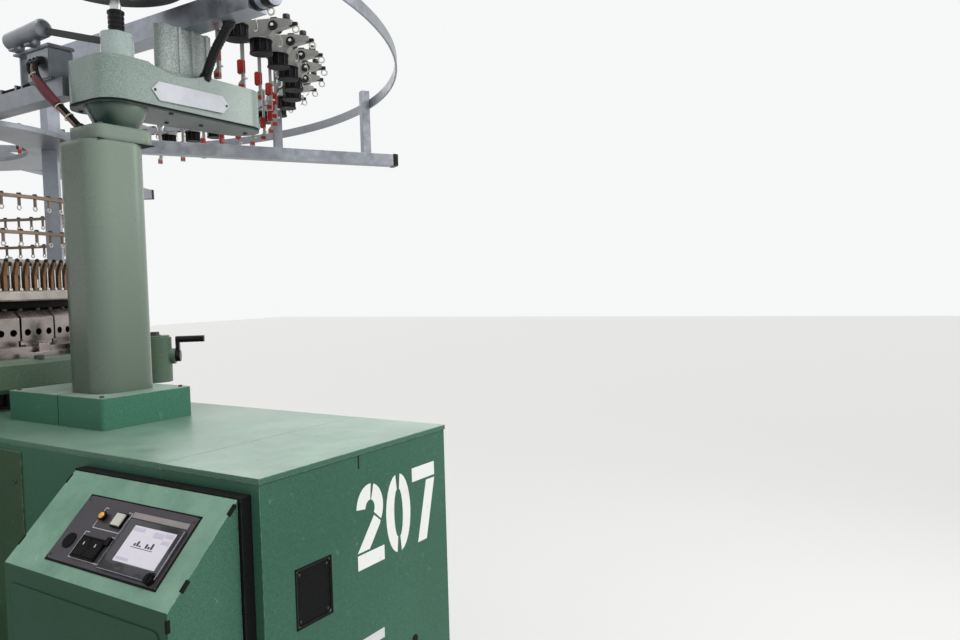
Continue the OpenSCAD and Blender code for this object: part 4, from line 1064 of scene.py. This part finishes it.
def cable_glands(routes, middle):
    """An elbow gland for each cable on the junction box, and one for all on the adapter."""
    glands = Piece()
    for route in routes:
        mouth = route[0]
        foot = Vector((mouth.x - LEAVE.x * GLAND_REACH, BOX_FACE, mouth.z - LEAVE.z * GLAND_REACH))
        glands.lathe(stub(0.0086, -0.002, 0.006, 0.0072, 0.009), 6, facing(foot, (0, -1, 0)))
        glands.tube([foot + Vector((0, -0.004, 0)), foot + Vector((0, -0.0115, 0)), mouth - LEAVE * 0.006,
                     mouth + LEAVE * 0.003], 0.0066, 14)
        glands.lathe(stub(0.0078, -0.003, 0.002, 0.0064, 0.005), 10, facing(mouth, LEAVE))
    glands.lathe(stub(0.0155, -0.022, -0.004, 0.0125, 0.004), 12,
                 facing(middle[-1], routes[1][-3] - routes[1][-1]))
    glands.done("cable_glands", "black_plastic")


def cable_bundle():
    """The three cables with their red wrap and ties."""
    routes, middle = cable_routes()
    cable_glands(routes, middle)
    dark, brown, wrap, ties = Piece(), Piece(), Piece(), Piece()
    for piece, route, radius in zip((dark, brown, dark), routes, CABLE_RADII):
        piece.tube(route, radius, 12)
    dark.done("cables_black", "rubber", smooth=60)
    brown.done("cable_brown", "cable_brown", smooth=60)
    part = middle[14:33]
    last = len(part) - 1
    wrap.tube(part, [0.0112 + 0.0016 * sin(pi * i / last) for i in range(last + 1)], 14)
    wrap.done("cable_wrap", "wrap_red", smooth=60)
    for i in (12, 33, 40):
        ties.torus(0.0112, 0.0014, facing(middle[i], middle[i + 1] - middle[i - 1]), 18, 6)
    ties.done("cable_ties", "ceramic")


def beam_conduit():
    conduit = Piece()
    path = smooth_path([(1.0915, 0.27, 2.068), (1.104, 0.267, 2.08), (1.125, 0.264, 2.106),
                        (1.152, 0.262, 2.137), (1.183, 0.261, 2.166), (1.203, 0.259, 2.183),
                        (1.212, 0.258, 2.192)])
    conduit.tube(path, [0.0118 + 0.0011 * (k % 2) for k in range(len(path))], 16)
    for p, d in ((path[1], path[1] - path[0]), (path[-3], path[-1] - path[-2])):
        conduit.lathe(stub(0.0155, -0.008, 0.006, 0.0135, 0.009), 10, facing(p, d))
    conduit.done("beam_conduit", "black_plastic", smooth=50)


def tension_bar():
    """A round bar on its brackets above the junction box, and a flat strap to the arm."""
    bar, strap = Piece(), Piece()
    bar.lathe([(0, 0), (0.017, 0.0012), (0.0235, 0.006), (0.0235, 0.158), (0.021, 0.16), (0, 0.16)], 28,
              facing((0.866, -0.03, 2.169), (-1, 0, -0.04)))
    for x in (0.752, 0.826):
        bar.slab(*around(x, 0.009), -0.036, -0.024, 2.1265, 2.15, 0.001)
        bar.slab(*around(x, 0.012), -0.056, -0.004, 2.1268, 2.1325, 0.001)
    bar.slab(0.722, 0.79, -0.036, -0.004, 2.1215, 2.1275, 0.001)
    bar.slab(0.722, 0.7285, -0.02, 0.012, BEAM_TOP - 0.0005, 2.1225, 0.001)
    bar.done("tension_bar", "zinc")
    a, b = Vector((0.862, -0.026, 2.163)), Vector((1.0125, 0.034, 2.124))
    m = at(*a) @ (b - a).to_track_quat("X", "Z").to_matrix().to_4x4()
    strap.slab(-0.01, (b - a).length + 0.004, *around(0, 0.0028), *around(0, 0.0085), 0.001, m)
    strap.done("tension_strap", "dark_iron")


def beam_loom():
    """Three cables that lie on the beam under two clamps and end in a small box."""
    loom, clamp = Piece(), Piece()
    lie = BEAM_TOP + LOOM_R + 0.0001
    for y in (-0.013, -0.001, 0.011):
        loom.tube(smooth_path([(0.79, y, 2.056), (0.768, y, 2.0516), (0.742, y, 2.048), (0.7, y, lie),
                               (0.65, y, lie), (0.6, y, lie), (0.546, y, lie)], 5), LOOM_R, 10)
    loom.done("beam_loom", "rubber", smooth=60)
    foot = BEAM_TOP - 0.0005
    for x in (0.7, 0.625):
        clamp.slab(*around(x, 0.004), *around(0, 0.024), 2.0508, 2.054, 0.001)
        for y in (-0.0215, 0.0215):
            clamp.slab(*around(x, 0.004), *around(y, 0.0012), foot, 2.0535, 0.0006)
    clamp.slab(0.516, 0.552, *around(0, 0.022), foot, 2.07, 0.003)
    clamp.done("loom_clamps", "zinc")


# Stage


def pale_world():
    """An even soft light, and a brighter pale background for the camera, reflections and glass."""
    world = bpy.data.worlds.new("world")
    scene.world = world
    world.use_nodes = True
    nt = world.node_tree
    soft = nt.nodes["Background"]
    fill(soft, {"Color": (0.88, 0.89, 0.9), "Strength": 0.52})
    bright = node(nt, "ShaderNodeBackground", {"Color": (0.93, 0.935, 0.94)})
    path = nt.nodes.new("ShaderNodeLightPath")
    seen = path.outputs["Is Camera Ray"]
    for ray in ("Is Glossy Ray", "Is Transmission Ray"):
        seen = maths(nt, "MAXIMUM", seen, path.outputs[ray])
    shade = node(nt, "ShaderNodeMixShader", {0: seen, 1: soft.outputs[0], 2: bright.outputs[0]})
    fill(nt.nodes["World Output"], {"Surface": shade.outputs[0]})


def add_light(name, kind, energy, place, toward, **settings):
    light = bpy.data.lights.new(name, kind)
    light.energy = energy
    for key, value in settings.items():
        setattr(light, key, value)
    o = bpy.data.objects.new(name, light)
    scene.collection.objects.link(o)
    o.location = place
    o.rotation_euler = Vector(toward).to_track_quat("-Z", "Y").to_euler()


def set_stage():
    bpy.ops.mesh.primitive_plane_add(size=60, location=(0, 0, 0))
    floor = bpy.context.object
    floor.name = "floor"
    m, _, sh = new_material("floor_pale")
    fill(sh, {"Base Color": (0.78, 0.78, 0.77), "Roughness": 0.8})
    floor.data.materials.append(m)
    pale_world()
    add_light("key", "SUN", 1.7, (0, 0, 0), (-0.85, 0.12, -0.95), angle=radians(35), color=(1.0, 0.99, 0.97))
    add_light("fill", "SUN", 0.55, (0, 0, 0), (0.9, -0.55, -0.8), angle=radians(60))
    add_light("strip", "AREA", 34, (3.2, 2.6, 3.4), (-2.2, -2.5, -1.8), shape="RECTANGLE", size=0.5, size_y=3)


set_stage()
scene.view_settings.view_transform = "Standard"

for make in (panel_print, screen, lamp_and_sounder, bezel_details, console_clips, cover_details,
             end_window, end_fittings, stencil, arm_details, shaft_details, beam_details,
             cylinder_details, cam_box_details, guide_details, stud_details, bed_details,
             door_details, guard_details, feeder_details,
             junction_box, cable_bundle, beam_conduit, tension_bar, beam_loom):
    make()
